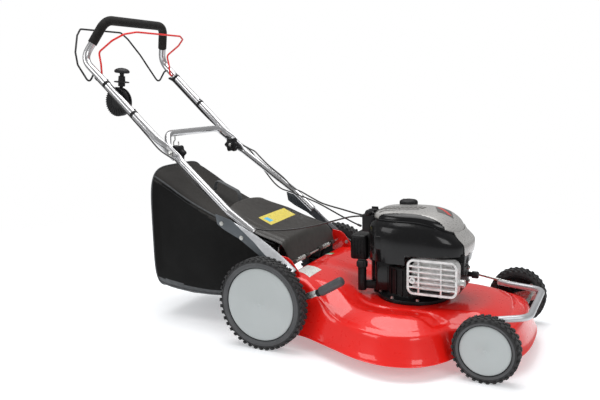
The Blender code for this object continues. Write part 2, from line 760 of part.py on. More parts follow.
def make_engine():
    x, y = CRANK_AXIS
    base_z = PLATEAU_Z + 0.0006
    block_profile = [
        (0.0120, base_z),
        (0.1080, base_z),
        (0.1080, base_z + 0.012),
        (0.0840, base_z + 0.018),
        (0.0840, 0.252),
        (0.0600, 0.262),
        (0.0120, 0.262),
    ]
    place = (x, y, base_z)
    engine = lathe_object("engine_block", "black_plastic", block_profile, CRANK_AXIS, "Z", 24, place)
    cylinder_plan = rounded_box_outline((-0.105, 0.190), (-0.005, 0.248), 0.010)
    cylinder = helper(prism_rings(cylinder_plan, "YZ", 0.440, 0.556))
    sump_nose = block((0.285, -0.095, base_z + 0.004), (0.340, 0.005, 0.240))
    pocket = block((0.4225, -0.200, 0.1985), (0.560, -0.1212, 0.2835))
    combine(engine, [cylinder, sump_nose], [pocket])

    skin = [
        cowl_ring(0.146, 0.118, 0.268, shift=0.004),
        cowl_ring(0.150, 0.120, 0.330, 0.30, shift=0.006),
        cowl_ring(0.142, 0.112, 0.372, 1.60),
        cowl_ring(0.130, 0.100, 0.388, 2.10),
        cowl_ring(0.126, 0.096, 0.380, 2.10),
        cowl_ring(0.138, 0.108, 0.366, 1.60),
        cowl_ring(0.146, 0.116, 0.328, 0.30, shift=0.006),
        cowl_ring(0.142, 0.114, 0.268, shift=0.004),
    ]
    cowl = Piece("blower_housing", "black_gloss")
    add_rings(cowl.bm, skin, loop=True)
    cowl_cuts = [
        block((0.200, -0.046, 0.250), (0.300, 0.006, 0.306)),
        block((0.404, -0.200, 0.250), (0.566, -0.112, 0.2960)),
    ]
    combine(cowl.finish_object(), (), cowl_cuts)
    cover = Piece("top_cover", "silver_plastic")
    outer = [
        cowl_ring(0.129, 0.099, 0.3895, 2.10),
        cowl_ring(0.124, 0.094, 0.4040, 2.20),
        cowl_ring(0.104, 0.074, 0.4125, 2.00),
        cowl_ring(0.060, 0.040, 0.4155, 1.00),
        cowl_ring(0.016, 0.010, 0.4160, 0.20),
    ]
    inner = [
        cowl_ring(0.126, 0.096, 0.3895, 2.10),
        cowl_ring(0.121, 0.091, 0.4015, 2.20),
        cowl_ring(0.102, 0.072, 0.4100, 2.00),
        cowl_ring(0.060, 0.040, 0.4130, 1.00),
        cowl_ring(0.016, 0.010, 0.4135, 0.20),
    ]
    add_cup(cover.bm, outer, inner)
    lid = cover.finish_object()
    cap_x, cap_y = 0.356, 0.0255
    combine(lid, (), [post("XY", (cap_x, cap_y), 0.0320, 0.30, 0.50, 20)])
    tank_plan = superellipse((COWL_CENTRE[0] - 0.020, COWL_CENTRE[1]), 0.092, 0.086, 2.9, 20)
    tank = prism("fuel_tank", "black_plastic", tank_plan, "XY", 0.336, 0.358)
    neck = post("XY", (cap_x, cap_y), 0.0150, 0.350, 0.4120, 16)
    combine(tank, [neck])
    cap = [
        (0.0170, 0.4000),
        (0.0275, 0.4000),
        (0.0275, 0.4190),
        (0.0240, 0.4255),
        (0.0, 0.4275),
        (0.0, 0.4130),
        (0.0170, 0.4130),
    ]
    lathe_object("fuel_cap", "black_plastic", cap, (cap_x, cap_y), "Z", 24, (cap_x, cap_y, 0.40))

    filter_plan = rounded_box_outline((0.196, -0.070), (0.254, 0.040), 0.012)
    prism("air_filter_cover", "black_plastic", filter_plan, "XY", 0.246, 0.322)
    carburettor_plan = rounded_box_outline((0.2575, -0.040), (0.300, 0.000), 0.006)
    prism("carburettor", "cast_aluminium", carburettor_plan, "XY", 0.266, 0.300)
    oil = [(0.0, 0.196), (0.0085, 0.196), (0.0085, 0.238), (0.0165, 0.238), (0.0165, 0.2560), (0.0, 0.2600)]
    cap_place = (0.2550, -0.1150)
    lathe_object("oil_cap", "black_plastic", oil, cap_place, "Z", 16, (*cap_place, 0.24))
    tube_hole = post("XY", cap_place, 0.0090, 0.190, 0.30, 16)
    tower = helper(prism_rings(circle_outline(cap_place, 0.0130, 16), "XY", 0.1660, 0.2374))
    root_plan = [(0.257, -0.116), (0.330, -0.100), (0.330, -0.072), (0.257, -0.096)]
    root = helper(prism_rings(root_plan, "XY", 0.1700, 0.192))
    combine(engine, [tower, root], [tube_hole])

    plug = [
        (0.0, 0.5566),
        (0.0080, 0.5566),
        (0.0080, 0.5700),
        (0.0100, 0.5700),
        (0.0100, 0.5860),
        (0.0, 0.5880),
    ]
    lathe_object("spark_plug", "black_plastic", plug, (-0.040, 0.225), "X", 12)

    body_plan = rounded_box_outline((0.424, 0.200), (0.548, 0.282), 0.018)
    body = prism("muffler", "zinc_steel", body_plan, "XZ", -0.164, -0.1215)
    outlet = helper(prism_rings(circle_outline((-0.145, 0.226), 0.011, 12), "YZ", 0.540, 0.572))
    combine(body, [outlet])
    guard_plan = rounded_box_outline((0.414, 0.188), (0.558, 0.291), 0.020, 4)
    guard = prism("muffler_guard", "cast_aluminium", guard_plan, "XZ", -0.178, -0.1665)
    openings = []
    for low_x, high_x in ((0.422, 0.452), (0.457, 0.515), (0.520, 0.551)):
        for i in range(5):
            z = 0.1965 + i * 0.0180
            openings.append(block((low_x, -0.20, z), (high_x, -0.15, z + 0.0125)))
    combine(guard, (), openings)

    start = Vector((0.2660, -0.080, 0.3990))
    grip_profile = [(0.0, -0.020), (0.0075, -0.018), (0.0095, 0.0), (0.0075, 0.018), (0.0, 0.020)]
    grip = lathe("starter_grip", "black_plastic", grip_profile, (0.0, 0.0), "Y", 12)
    bmesh.ops.translate(grip.bm, verts=grip.bm.verts, vec=start)
    handle = grip.finish_object(start)
    stem_path = [start + Vector((0.002, 0, 0)), start + Vector((0.0155, 0, -0.004))]
    stem = helper(tube_rings(stem_path, 0.0045, 8)[0])
    combine(handle, [stem])


# ---------------------------------------------------------------- handle
def make_brackets():
    """Folded sheet bracket each side: an upright web below the fold and a flange that leans in over it."""
    web = [
        (-0.182, 0.394),
        (-0.176, 0.362),
        (-0.150, 0.345),
        (-0.100, 0.322),
        (-0.030, 0.275),
        (0.020, 0.228),
        (0.080, 0.228),
        (0.060, 0.2380),
        (0.030, 0.2480),
        (-0.012, 0.280),
        (-0.046, 0.314),
        (-0.125, 0.378),
    ]
    fold = [(-0.126, 0.377), (-0.046, 0.313), (-0.012, 0.279), (0.030, 0.247), (0.079, 0.229)]
    edge = [
        (-0.134, 0.2400, 0.3800),
        (-0.058, 0.2285, 0.3400),
        (-0.020, 0.2190, 0.3130),
        (0.030, 0.2165, 0.2770),
        (0.082, 0.2150, 0.2360),
    ]
    for side, word in ((RIGHT, "right"), (LEFT, "left")):
        low, high = sorted((side * (BRACKET_Y - 0.0010), side * (BRACKET_Y + 0.0012)))
        plate = prism(f"handle_bracket_{word}", "silver_paint", web, "XZ", low, high)
        rings = []
        for (fx, fz), (ex, ey, ez) in zip(fold, edge):
            outer = Vector((fx, side * (BRACKET_Y + 0.0010), fz))
            inner = Vector((ex, side * ey, ez))
            thick = Vector((0.0008, side * 0.0014, 0.0016))
            rings.append([outer - thick, outer, inner, inner - thick])
        low, high = sorted((side * 0.2092, side * BRACKET_Y))
        spacer = helper(prism_rings(circle_outline((0.052, 0.2360), 0.0065, 12), "XZ", low, high))
        combine(plate, [helper(rings), spacer])


def make_lower_handle():
    half = [
        (-0.060, 0.2140, 0.3388),
        (-0.140, 0.2262, 0.4000),
        (-0.346, 0.1935, 0.5577),
        (-0.386, 0.1915, 0.5885),
        (-0.4166, 0.1500, 0.6340),
    ]
    right = [(x, -y, z) for x, y, z in half]
    corners = right + half[::-1]
    points = filleted(corners, 0.045, 3)
    joint = Vector((JOINT[0], 0, JOINT[1]))

    def flat(i):
        p = points[i]
        away = math.hypot(p.x - joint.x, p.z - joint.z)
        press = 1 - smooth_step(away, 0.016, 0.050)
        if abs(p.y) < 0.170:
            press = 0.0
        return 1.0 + 0.28 * press, 1.0 - 0.55 * press

    points = refined(points, joint, 0.052, 0.017)
    tube("lower_handle", "bright_tube", points, LOWER_TUBE, 10, flat=flat)
    eye_x, eye_y, eye_z = -0.4166, -0.112, 0.634
    loop = []
    for i in range(9):
        a = math.pi * (0.5 + 1.7 * i / 8)
        across, up = 0.012 * math.cos(a), 0.014 * math.sin(a)
        loop.append(Vector((eye_x + 0.006 * i / 8, eye_y + across, eye_z - 0.038 + up)))
    path = [Vector((eye_x, eye_y, eye_z - LOWER_TUBE - GAP))] + loop
    tube("rope_guide", "zinc_steel", path, 0.0022, 8)


def upper_path():
    half = [
        (-0.352, 0.2035, 0.5600),
        (-0.384, 0.2040, 0.5896),
        (-0.450, UPPER_Y, 0.6503),
        (-0.7030, 0.2120, 0.8860),
        (-0.6450, 0.1560, 1.0140),
    ]
    right = [(x, -y, z) for x, y, z in half]
    return right, right + half[::-1]


def make_upper_handle():
    _, corners = upper_path()
    points = filleted(corners, 0.050, 4)
    joint = Vector((JOINT[0], 0, JOINT[1]))
    points = refined(points, joint, 0.076, 0.025)

    def flat(i):
        p = points[i]
        away = math.hypot(p.x - joint.x, p.z - joint.z)
        press = 1 - smooth_step(away, 0.024, 0.075)
        return 1.0 + 0.15 * press, 1.0 - 0.66 * press

    tube("upper_handle", "bright_tube", points, UPPER_TUBE, 10, flat=flat, origin=(JOINT[0], 0, JOINT[1]))
    foam = [p for p in points if p.z > 0.932]
    tube("foam_grip", "foam", foam, FOAM_RADIUS, 10, bore=UPPER_TUBE + 0.0008)
    for side, word in ((RIGHT, "right"), (LEFT, "left")):
        make_fold_knob(word, side)


def make_fold_knob(word, side):
    """Six-lobed knob moulded on a bolt that passes through both handle tubes."""
    outline = []
    for i in range(36):
        a = 2 * math.pi * i / 36
        r = 0.0245 + 0.0030 * math.cos(6 * a)
        outline.append((JOINT[0] + r * math.cos(a), JOINT[1] + r * math.sin(a)))
    low, high = sorted((side * 0.1560, side * 0.1750))
    place = (JOINT[0], side * 0.165, JOINT[1])
    knob = prism(f"fold_knob_{word}", "black_plastic", outline, "XZ", low, high, place)
    boss_low, boss_high = sorted((side * 0.1740, side * 0.1865))
    bolt_low, bolt_high = sorted((side * 0.1800, side * 0.2125))
    head_low, head_high = sorted((side * 0.2105, side * 0.2145))
    joins = [
        post("XZ", JOINT, 0.0110, boss_low, boss_high),
        post("XZ", JOINT, 0.0040, bolt_low, bolt_high, 10),
        post("XZ", JOINT, 0.0090, head_low, head_high, 14),
    ]
    combine(knob, joins)


def drill_fold_joint():
    for name in ("lower_handle", "upper_handle"):
        obj = bpy.data.objects[name]
        middles = [side * 0.20 for side in (RIGHT, LEFT)]
        combine(obj, (), [post("XZ", JOINT, 0.0044, y - 0.03, y + 0.03, 12) for y in middles])


def make_bails():
    red = [
        (-0.648, 0.1945, 0.8330),
        (-0.648, 0.1885, 0.8345),
        (-0.650, 0.1870, 0.8695),
        (-0.657, 0.1860, 0.9075),
        (-0.5985, 0.1840, 0.9425),
        (-0.564, 0.1640, 0.9627),
        (-0.545, 0.1225, 0.9710),
    ]
    black = [
        (-0.672, 0.1945, 0.8520),
        (-0.676, 0.1885, 0.8470),
        (-0.706, 0.1890, 0.8056),
        (-0.753, 0.1880, 0.8690),
        (-0.774, 0.1730, 0.9130),
        (-0.798, 0.1340, 0.9730),
        (-0.8076, 0.1060, 0.9970),
    ]
    for name, finish, half in (("brake_bail", "red_paint", red), ("drive_bail", "black_gloss", black)):
        right = [(x, -y, z) for x, y, z in half]
        corners = right + half[::-1]
        points = filleted(corners, 0.010, 1)
        tube(name, finish, points, BAIL_WIRE, 6, origin=(half[0][0], 0, half[0][2]))


def make_speed_control():
    centre = (-0.588, 0.742)
    case = []
    for i in range(28):
        a = 2 * math.pi * i / 28
        case.append((centre[0] + 0.048 * math.cos(a), centre[1] + 0.048 * math.sin(a)))
    housing = prism("lever_housing", "black_plastic", case, "XZ", -0.1925, -0.1700)
    slot_low, slot_high = -0.1855, -0.1775
    slot = block((centre[0] - 0.052, slot_low, 0.7425), (centre[0] + 0.052, slot_high, 0.810))
    pin = post("XZ", centre, 0.0052, -0.195, -0.166)
    room = post("XZ", centre, 0.0185, slot_low, slot_high, 20)
    combine(housing, (), [slot, pin, room])
    lever_mid = -0.1815
    lever = prism(
        "speed_lever",
        "zinc_steel",
        capsule_outline(centre, (-0.5705, 0.802), 0.0120, 0.0050),
        "XZ",
        lever_mid - 0.0015,
        lever_mid + 0.0015,
        origin=(centre[0], 0, centre[1]),
    )
    axis_low = Vector((-0.5725, lever_mid, 0.7925))
    axis_high = Vector((-0.5655, lever_mid, 0.8530))
    along = axis_high - axis_low
    profile = (
        (0.00, 0.0115),
        (0.20, 0.0115),
        (0.205, 0.0250),
        (0.26, 0.0250),
        (0.265, 0.0115),
        (0.56, 0.0110),
        (0.565, 0.0070),
        (0.70, 0.0070),
        (0.705, 0.0215),
        (0.80, 0.0255),
        (0.92, 0.0200),
        (1.00, 0.0060),
    )
    rings = []
    side_x = along.cross(Vector((0, 1, 0))).normalized()
    side_y = along.cross(side_x).normalized()
    for t, radius in profile:
        middle = axis_low + along * t
        turns = [2 * math.pi * k / 12 for k in range(12)]
        rings.append([middle + (side_x * math.cos(a) + side_y * math.sin(a)) * radius for a in turns])
    combine(lever, [helper(rings), post("XZ", centre, 0.0046, -0.1930, -0.1690)])


# ---------------------------------------------------------------- flap, bag and cables
def make_flap():
    """Crowned lid with a short front wall that drops to the hinge."""
    line = [
        (0.0375, 0.2428),
        (0.030, 0.270),
        (0.016, 0.304),
        (-0.010, 0.3170),
        (-0.080, 0.3370),
        (-0.150, 0.3600),
        (-0.225, 0.3900),
    ]
    rings = []
    for i, (px, pz) in enumerate(line):
        rear = smooth_step(-px, 0.13, 0.225)
        half = 0.172 - 0.045 * rear
        crown = (0.0, 0.002, 0.006, 0.010)[min(i, 3)]
        droop = 0.002 * min(i, 3)
        row = []
        for k in range(7):
            v = -1 + 2 * k / 6
            height = pz + crown * (1 - v * v) - droop * v**6
            row.append(Vector((px + 0.018 * rear * v * v, v * half, height)))
        thin = Vector((-0.0026, 0, -0.0008)) if i < 3 else Vector((0, 0, -0.0028))
        rings.append(row + [p + thin for p in reversed(row)])
    piece = Piece("rear_flap", "black_plastic")
    add_rings(piece.bm, rings)
    flap = piece.finish_object((FLAP_HINGE[0], 0, FLAP_HINGE[1]))
    knuckles = []
    for y in (-0.150, -0.050, 0.050, 0.150):
        knuckles.append(post("XZ", FLAP_HINGE, 0.0075, y - 0.012, y + 0.012, 12))
    bore = post("XZ", FLAP_HINGE, 0.0033, -0.2, 0.2, 10)
    combine(flap, knuckles, [bore])
    pin = [(0.0, -0.2030), (0.0030, -0.2030), (0.0030, 0.2030), (0.0, 0.2030)]
    lathe_object("flap_pin", "zinc_steel", pin, FLAP_HINGE, "Y", 10)


def make_bag():
    """Fabric bag as a hollow loft from its mouth frame to its rear face."""
    stations = [
        # x of the section, height of its middle, half height, half width
        (-0.020, 0.242, 0.046, 0.150),
        (-0.075, 0.236, 0.072, 0.156),
        (-0.150, 0.222, 0.120, 0.160),
        (-0.250, 0.232, 0.152, 0.160),
        (-0.350, 0.254, 0.178, 0.160),
        (-0.440, 0.285, 0.203, 0.163),
        (-0.492, 0.304, 0.212, 0.160),
    ]
    outer, inner = [], []
    for px, pz, tall, half in stations:
        outer.append([(px, y, z) for y, z in superellipse((0.0, pz), half, tall, 5.0, 20)])
        inner.append([(px, y, z) for y, z in superellipse((0.0, pz), half - 0.003, tall - 0.003, 5.0, 20)])
    inner[-1] = [(p[0] + 0.003, p[1], p[2]) for p in inner[-1]]
    piece = Piece("grass_bag", "bag_fabric")
    add_cup(piece.bm, outer, inner)
    bag = piece.finish_object()
    frame = [
        (-0.017, -0.140, 0.205),
        (-0.017, 0.140, 0.205),
        (-0.017, 0.140, 0.282),
        (-0.017, -0.140, 0.282),
    ]
    corners = [Vector(p) for p in frame]
    loop = corners[3:] + corners + corners[:1]
    points = filleted(loop, 0.016, 3)[1:-1]
    hook = Piece("bag_mouth_frame", "zinc_steel")
    rings, _ = tube_rings(points, 0.0028, 8)
    add_rings(hook.bm, rings, loop=True)
    hook.finish_object()
    strap = [(-0.236, 0.0, 0.3780), (-0.240, 0.0, 0.4260), (-0.330, 0.0, 0.4650), (-0.338, 0.0, 0.4280)]
    combine(bag, [helper(tube_rings(filleted(strap, 0.008, 2), 0.0050, 8)[0])])


CABLE_ROUTES = {
    "brake_cable_lower": (
        (-0.330, -0.2240, 0.5490),
        (-0.280, -0.2195, 0.4920),
        (-0.230, -0.2120, 0.4480),
        (-0.185, -0.2090, 0.4110),
        (-0.150, -0.2050, 0.3830),
        (-0.119, -0.1980, 0.3620),
        (-0.085, -0.1930, 0.3490),
        (-0.050, -0.1840, 0.3420),
        (-0.010, -0.1700, 0.3400),
        (0.040, -0.1480, 0.3430),
        (0.095, -0.1220, 0.3520),
        (0.147, -0.0960, 0.3650),
        (0.200, -0.0760, 0.3790),
        (0.245, -0.0620, 0.3830),
    ),
    "throttle_cable_lower": (
        (-0.330, 0.2240, 0.5550),
        (-0.300, 0.2180, 0.5440),
        (-0.270, 0.2080, 0.5230),
        (-0.235, 0.2060, 0.4940),
        (-0.180, 0.2110, 0.4520),
        (-0.137, 0.2050, 0.4170),
        (-0.090, 0.1860, 0.4040),
        (-0.037, 0.1550, 0.3910),
        (0.023, 0.1200, 0.3790),
        (0.121, 0.0650, 0.3730),
        (0.198, 0.0180, 0.3700),
        (0.246, -0.0130, 0.3740),
    ),
    "clutch_cable_lower": (
        (-0.330, 0.2310, 0.5480),
        (-0.285, 0.2240, 0.4990),
        (-0.250, 0.2180, 0.4610),
        (-0.215, 0.2080, 0.4300),
        (-0.180, 0.1990, 0.4110),
        (-0.137, 0.1930, 0.4010),
        (-0.042, 0.1660, 0.3800),
        (0.016, 0.1360, 0.3680),
        (0.098, 0.0880, 0.3490),
        (0.160, 0.0560, 0.3340),
        (0.190, 0.0450, 0.3270),
    ),
    "brake_cable_upper": (
        (-0.6640, -0.2030, 0.8230),
        (-0.6500, -0.2080, 0.8135),
        (-0.6100, -0.2080, 0.7770),
        (-0.5600, -0.2080, 0.7300),
        (-0.5000, -0.2080, 0.6740),
        (-0.4500, -0.2130, 0.6300),
        (-0.3950, -0.2230, 0.5860),
        (-0.3380, -0.2240, 0.5560),
    ),
    "control_cables_upper": (
        (-0.6640, 0.2030, 0.8230),
        (-0.6500, 0.2080, 0.8130),
        (-0.6100, 0.2080, 0.7760),
        (-0.5600, 0.2080, 0.7290),
        (-0.5000, 0.2090, 0.6730),
        (-0.4500, 0.2160, 0.6290),
        (-0.3950, 0.2265, 0.5870),
        (-0.3380, 0.2270, 0.5570),
    ),
}


def make_cables():
    for name, knots in CABLE_ROUTES.items():
        if name.endswith("lower"):
            cord(name, knots, 46)
        else:
            cord(name, knots, 28)


# ---------------------------------------------------------------- assembly
def build():
    clear_scene()
    root = bpy.data.objects.new("mower_frame", None)
    root.location = FRAME_SHIFT
    bpy.context.scene.collection.objects.link(root)
    make_deck()
    make_front_bumper()
    make_wheels()
    make_rear_axle()
    make_front_axle()
    make_link_rod()
    make_drive_line()
    make_engine()
    make_brackets()
    make_lower_handle()
    make_upper_handle()
    drill_fold_joint()
    make_bails()
    make_speed_control()
    make_flap()
    make_bag()
    make_cables()


build()
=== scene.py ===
"""Finished surfaces for a petrol walk-behind lawn mower, built round its fixed frame.

Lengths are in metres. Pieces are drawn about the rear wheel axle, with x forward, y to the mower's left and
z up from the ground, and are shifted into the mower's own frame when they are finished.
"""

import math

import bmesh
import bpy
from mathutils import Matrix, Vector
from mathutils.bvhtree import BVHTree
from mathutils.noise import fractal


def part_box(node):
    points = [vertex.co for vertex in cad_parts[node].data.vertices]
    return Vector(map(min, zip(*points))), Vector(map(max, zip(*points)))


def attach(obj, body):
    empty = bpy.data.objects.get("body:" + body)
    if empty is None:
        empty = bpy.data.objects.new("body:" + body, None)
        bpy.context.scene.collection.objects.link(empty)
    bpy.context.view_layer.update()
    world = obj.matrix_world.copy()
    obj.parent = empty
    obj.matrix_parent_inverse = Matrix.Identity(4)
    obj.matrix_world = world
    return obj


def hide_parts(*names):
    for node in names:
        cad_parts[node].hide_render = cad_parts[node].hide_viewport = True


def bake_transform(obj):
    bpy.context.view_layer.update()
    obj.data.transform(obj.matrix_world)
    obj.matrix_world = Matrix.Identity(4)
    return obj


bl_info = {
    "name": "Walk-Behind Mower Maker",
    "version": (1, 0, 0),
    "blender": (4, 5, 0),
    "location": "3D View > Sidebar > Mower",
    "description": "Builds the finished surfaces of a petrol lawn mower round its frame",
    "category": "Add Mesh",
}

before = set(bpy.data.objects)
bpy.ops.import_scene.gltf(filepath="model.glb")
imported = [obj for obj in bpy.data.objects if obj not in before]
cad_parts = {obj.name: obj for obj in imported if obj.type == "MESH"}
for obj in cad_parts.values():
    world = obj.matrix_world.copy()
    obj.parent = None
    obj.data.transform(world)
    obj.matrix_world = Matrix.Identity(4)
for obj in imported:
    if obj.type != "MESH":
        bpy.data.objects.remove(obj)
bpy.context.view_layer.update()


def middle(node):
    low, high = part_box(node)
    return (low + high) / 2


LEFT_REAR, RIGHT_REAR = middle("rear_left_tyre"), middle("rear_right_tyre")
AXLE = Vector((RIGHT_REAR.x, (LEFT_REAR.y + RIGHT_REAR.y) / 2, 0.0))
REAR_RADIUS = RIGHT_REAR.z
FRONT_RADIUS = middle("front_right_tyre").z
WHEELBASE = middle("front_right_tyre").x - RIGHT_REAR.x
CRANK = Vector((*(middle("crankshaft") - AXLE).xy, 0.0))
REAR_PIVOT = (middle("drive_shaft").x - AXLE.x, middle("drive_shaft").z)
COWL = Vector((CRANK.x + 0.012, CRANK.y + 0.010, 0.0))
JOINT = Vector((-0.366, 0.0, 0.573))
RIGHT = -1
LEFT = 1


# ---------------------------------------------------------------- curves and outlines
def ease(value, low, high):
    t = min(1.0, max(0.0, (value - low) / (high - low)))
    return t * t * (3.0 - 2.0 * t)


def mix(a, b, t):
    return a + (b - a) * t


def catmull(a, b, c, d, t):
    return 0.5 * (2 * b + (c - a) * t + (2 * a - 5 * b + 4 * c - d) * t * t + (3 * b - a - 3 * c + d) * t**3)


def curve_through(knots, count):
    """Smooth points through the knots, which may be tuples of any length."""
    knots = [Vector(k) for k in knots]
    padded = [2 * knots[0] - knots[1], *knots, 2 * knots[-1] - knots[-2]]
    points = []
    for i in range(count):
        at = i * (len(knots) - 1) / (count - 1)
        span = min(int(at), len(knots) - 2)
        points.append(catmull(*padded[span : span + 4], at - span))
    return points


def loop_through(knots, count):
    """Smooth points round a closed outline."""
    total = len(knots)
    points = []
    for i in range(count):
        at = i * total / count
        span = int(at)
        a, b, c, d = (Vector(knots[(span + k) % total]) for k in (-1, 0, 1, 2))
        points.append(catmull(a, b, c, d, at - span))
    return points


def filleted(corners, radius, steps=10):
    """The polyline through corners with each inner corner rounded."""
    points = [Vector(corners[0])]
    for before, corner, after in zip(corners, corners[1:], corners[2:]):
        corner = Vector(corner)
        back = (Vector(before) - corner).normalized()
        ahead = (Vector(after) - corner).normalized()
        half = back.angle(ahead) / 2
        room = 0.48 * min((Vector(before) - corner).length, (Vector(after) - corner).length)
        reach = min(radius / math.tan(half), room)
        start, end = corner + back * reach, corner + ahead * reach
        for i in range(steps + 1):
            t = i / steps
            points.append((1 - t) ** 2 * start + 2 * t * (1 - t) * corner + t * t * end)
    points.append(Vector(corners[-1]))
    return points


def spaced(points, step):
    """The same path with extra points so that none is further apart than step."""
    dense = []
    for a, b in zip(points, points[1:]):
        cuts = max(1, math.ceil((b - a).length / step))
        dense += [a.lerp(b, k / cuts) for k in range(cuts)]
    return [*dense, points[-1]]


def both_sides(half):
    """A right-hand half path followed by its mirror image."""
    right = [Vector((x, -y, z)) for x, y, z in half]
    return right + [Vector(p) for p in reversed(half)]


def circle(centre, radius, sides=32):
    turns = [2 * math.pi * i / sides for i in range(sides)]
    return [(centre[0] + radius * math.cos(a), centre[1] + radius * math.sin(a)) for a in turns]


def capsule(start, end, start_radius, end_radius, steps=14):
    """Outline of a flat link with a round boss at each end."""
    start, end = Vector(start), Vector(end)
    along = math.atan2(end.y - start.y, end.x - start.x)
    outline = []
    for centre, radius, turn in ((start, start_radius, math.pi / 2), (end, end_radius, -math.pi / 2)):
        for i in range(steps + 1):
            a = along + turn + math.pi * i / steps
            outline.append((centre.x + radius * math.cos(a), centre.y + radius * math.sin(a)))
    return outline


def round_box(low, high, radius, steps=8):
    outline = []
    corners = ((high[0], high[1], 0), (low[0], high[1], 90), (low[0], low[1], 180), (high[0], low[1], 270))
    for x, y, start in corners:
        cx = x - radius if start in (0, 270) else x + radius
        cy = y - radius if start in (0, 90) else y + radius
        for i in range(steps + 1):
            a = math.radians(start + 90 * i / steps)
            outline.append((cx + radius * math.cos(a), cy + radius * math.sin(a)))
    return outline


def superellipse(centre, half_x, half_y, power, count=96):
    outline = []
    for i in range(count):
        a = 2 * math.pi * i / count
        c, s = math.cos(a), math.sin(a)
        across = half_x * math.copysign(abs(c) ** (2 / power), c)
        up = half_y * math.copysign(abs(s) ** (2 / power), s)
        outline.append((centre[0] + across, centre[1] + up))
    return outline


def path_frames(points):
    """Each point of a path with two side vectors, turned as little as possible along it."""
    tangents = [
        (points[min(i + 1, len(points) - 1)] - points[max(i - 1, 0)]).normalized() for i in range(len(points))
    ]
    side = tangents[0].cross(Vector((0, 1, 0)))
    if side.length < 0.2:
        side = tangents[0].cross(Vector((0, 0, 1)))
    side.normalize()
    frames = []
    for point, tangent in zip(points, tangents):
        side = (side - tangent * side.dot(tangent)).normalized()
        frames.append((point, side, tangent.cross(side)))
    return frames


def full_turn(count):
    """The angles that divide a full turn into equal parts."""
    return [2 * math.pi * k / count for k in range(count)]


def on_plane(plane, a, b, height):
    """Plane XY stands along Z, XZ along Y and YZ along X."""
    return {"XY": (a, b, height), "XZ": (a, height, b), "YZ": (height, a, b)}[plane]


# ---------------------------------------------------------------- mesh making
class Shape:
    """A mesh being made, of one or more closed skins."""

    def __init__(self):
        self.bm = bmesh.new()

    def skin(self, rings, closed=True, caps=True, loop=False, finish=0):
        made = [[self.bm.verts.new(p) for p in ring] for ring in rings]
        count = len(made[0])
        for one, two in zip(made, made[1:] + ([made[0]] if loop else [])):
            for i in range(count if closed else count - 1):
                j = (i + 1) % count
                self.bm.faces.new((one[i], one[j], two[j], two[i])).material_index = finish
        if caps and not loop:
            for ring in (made[0], made[-1]):
                self.bm.faces.new(ring).material_index = finish
        return made

    def tube(self, path, radius, sides=20, squeeze=None, bore=0.0, finish=0, round_ends=False):
        """squeeze(point) gives the stretch of the section along its two side vectors."""
        frames = path_frames([Vector(p) for p in path])

        def ring(frame_at, size):
            point, u, v = frame_at
            su, sv = squeeze(point) if squeeze else (1.0, 1.0)
            turns = [2 * math.pi * k / sides for k in range(sides)]
            return [point + u * (size * su * math.cos(a)) + v * (size * sv * math.sin(a)) for a in turns]

        rings = [ring(f, radius) for f in frames]
        if bore:
            rings += [ring(f, bore) for f in reversed(frames)]
            self.skin(rings, loop=True, finish=finish)
            return self
        if round_ends:
            ends = []
            for end, outward in ((frames[0], -1), (frames[-1], 1)):
                point, u, v = end
                along = u.cross(v) * outward * radius
                rim = ring(end, radius)
                ends.append([
                    [point + (p - point) * math.cos(t) + along * math.sin(t) for p in rim]
                    for t in (0.5, 1.0, 1.35)
                ])
            rings = ends[0][::-1] + rings + ends[1]
        self.skin(rings, finish=finish)
        return self

    def turned(self, profile, centre, axis="Y", segments=72, finish=0):
        """Turns a (radius, height) profile round an axis through centre. It may start and end on the axis."""
        plane = {"Y": "XZ", "Z": "XY", "X": "YZ"}[axis]
        rings = []
        for radius, height in profile:
            size = max(radius, 1e-5)
            rings.append([on_plane(plane, a, b, height) for a, b in circle(centre, size, segments)])
        self.skin(rings, loop=profile[0][0] > 1e-4, finish=finish)
        return self

    def slab(self, outline, plane, low, high, finish=0):
        self.skin([[on_plane(plane, a, b, h) for a, b in outline] for h in (low, high)], finish=finish)
        return self

    def box(self, low, high, finish=0):
        corners = [(low[0], low[1]), (high[0], low[1]), (high[0], high[1]), (low[0], high[1])]
        return self.slab(corners, "XY", low[2], high[2], finish)

    def object(self, name, *names):
        """Turns the shape into an object in the mower's own frame, with finishes by name."""
        bmesh.ops.remove_doubles(self.bm, verts=self.bm.verts, dist=2e-6)
        bmesh.ops.recalc_face_normals(self.bm, faces=self.bm.faces)
        bmesh.ops.translate(self.bm, verts=self.bm.verts, vec=AXLE)
        mesh = bpy.data.meshes.new(name)
        self.bm.to_mesh(mesh)
        self.bm.free()
        obj = bpy.data.objects.new(name, mesh)
        bpy.context.scene.collection.objects.link(obj)
        for one in names:
            mesh.materials.append(finishes[one])
        return obj


def shade(obj, angle=32):
    obj.data.shade_smooth()
    obj.data.set_sharp_from_angle(angle=math.radians(angle))
    return obj


def bevelled(obj, width, segments=2, angle=35):
    """Rounds the sharp edges of a piece for good."""
    modifier = obj.modifiers.new("Rounded edges", "BEVEL")
    modifier.width = width
    modifier.segments = segments
    modifier.limit_method = "ANGLE"
    modifier.angle_limit = math.radians(angle)
    return settled(obj)


def moulded(shape, name, finish, width, segments):
    """Turns a shape into a piece of one finish with its edges rounded."""
    return bevelled(shape.object(name, finish), width, segments)


def settled(obj):
    """Applies every modifier of a piece to its mesh."""
    graph = bpy.context.evaluated_depsgraph_get()
    mesh = bpy.data.meshes.new_from_object(obj.evaluated_get(graph), depsgraph=graph)
    obj.modifiers.clear()
    obj.data = mesh
    return obj


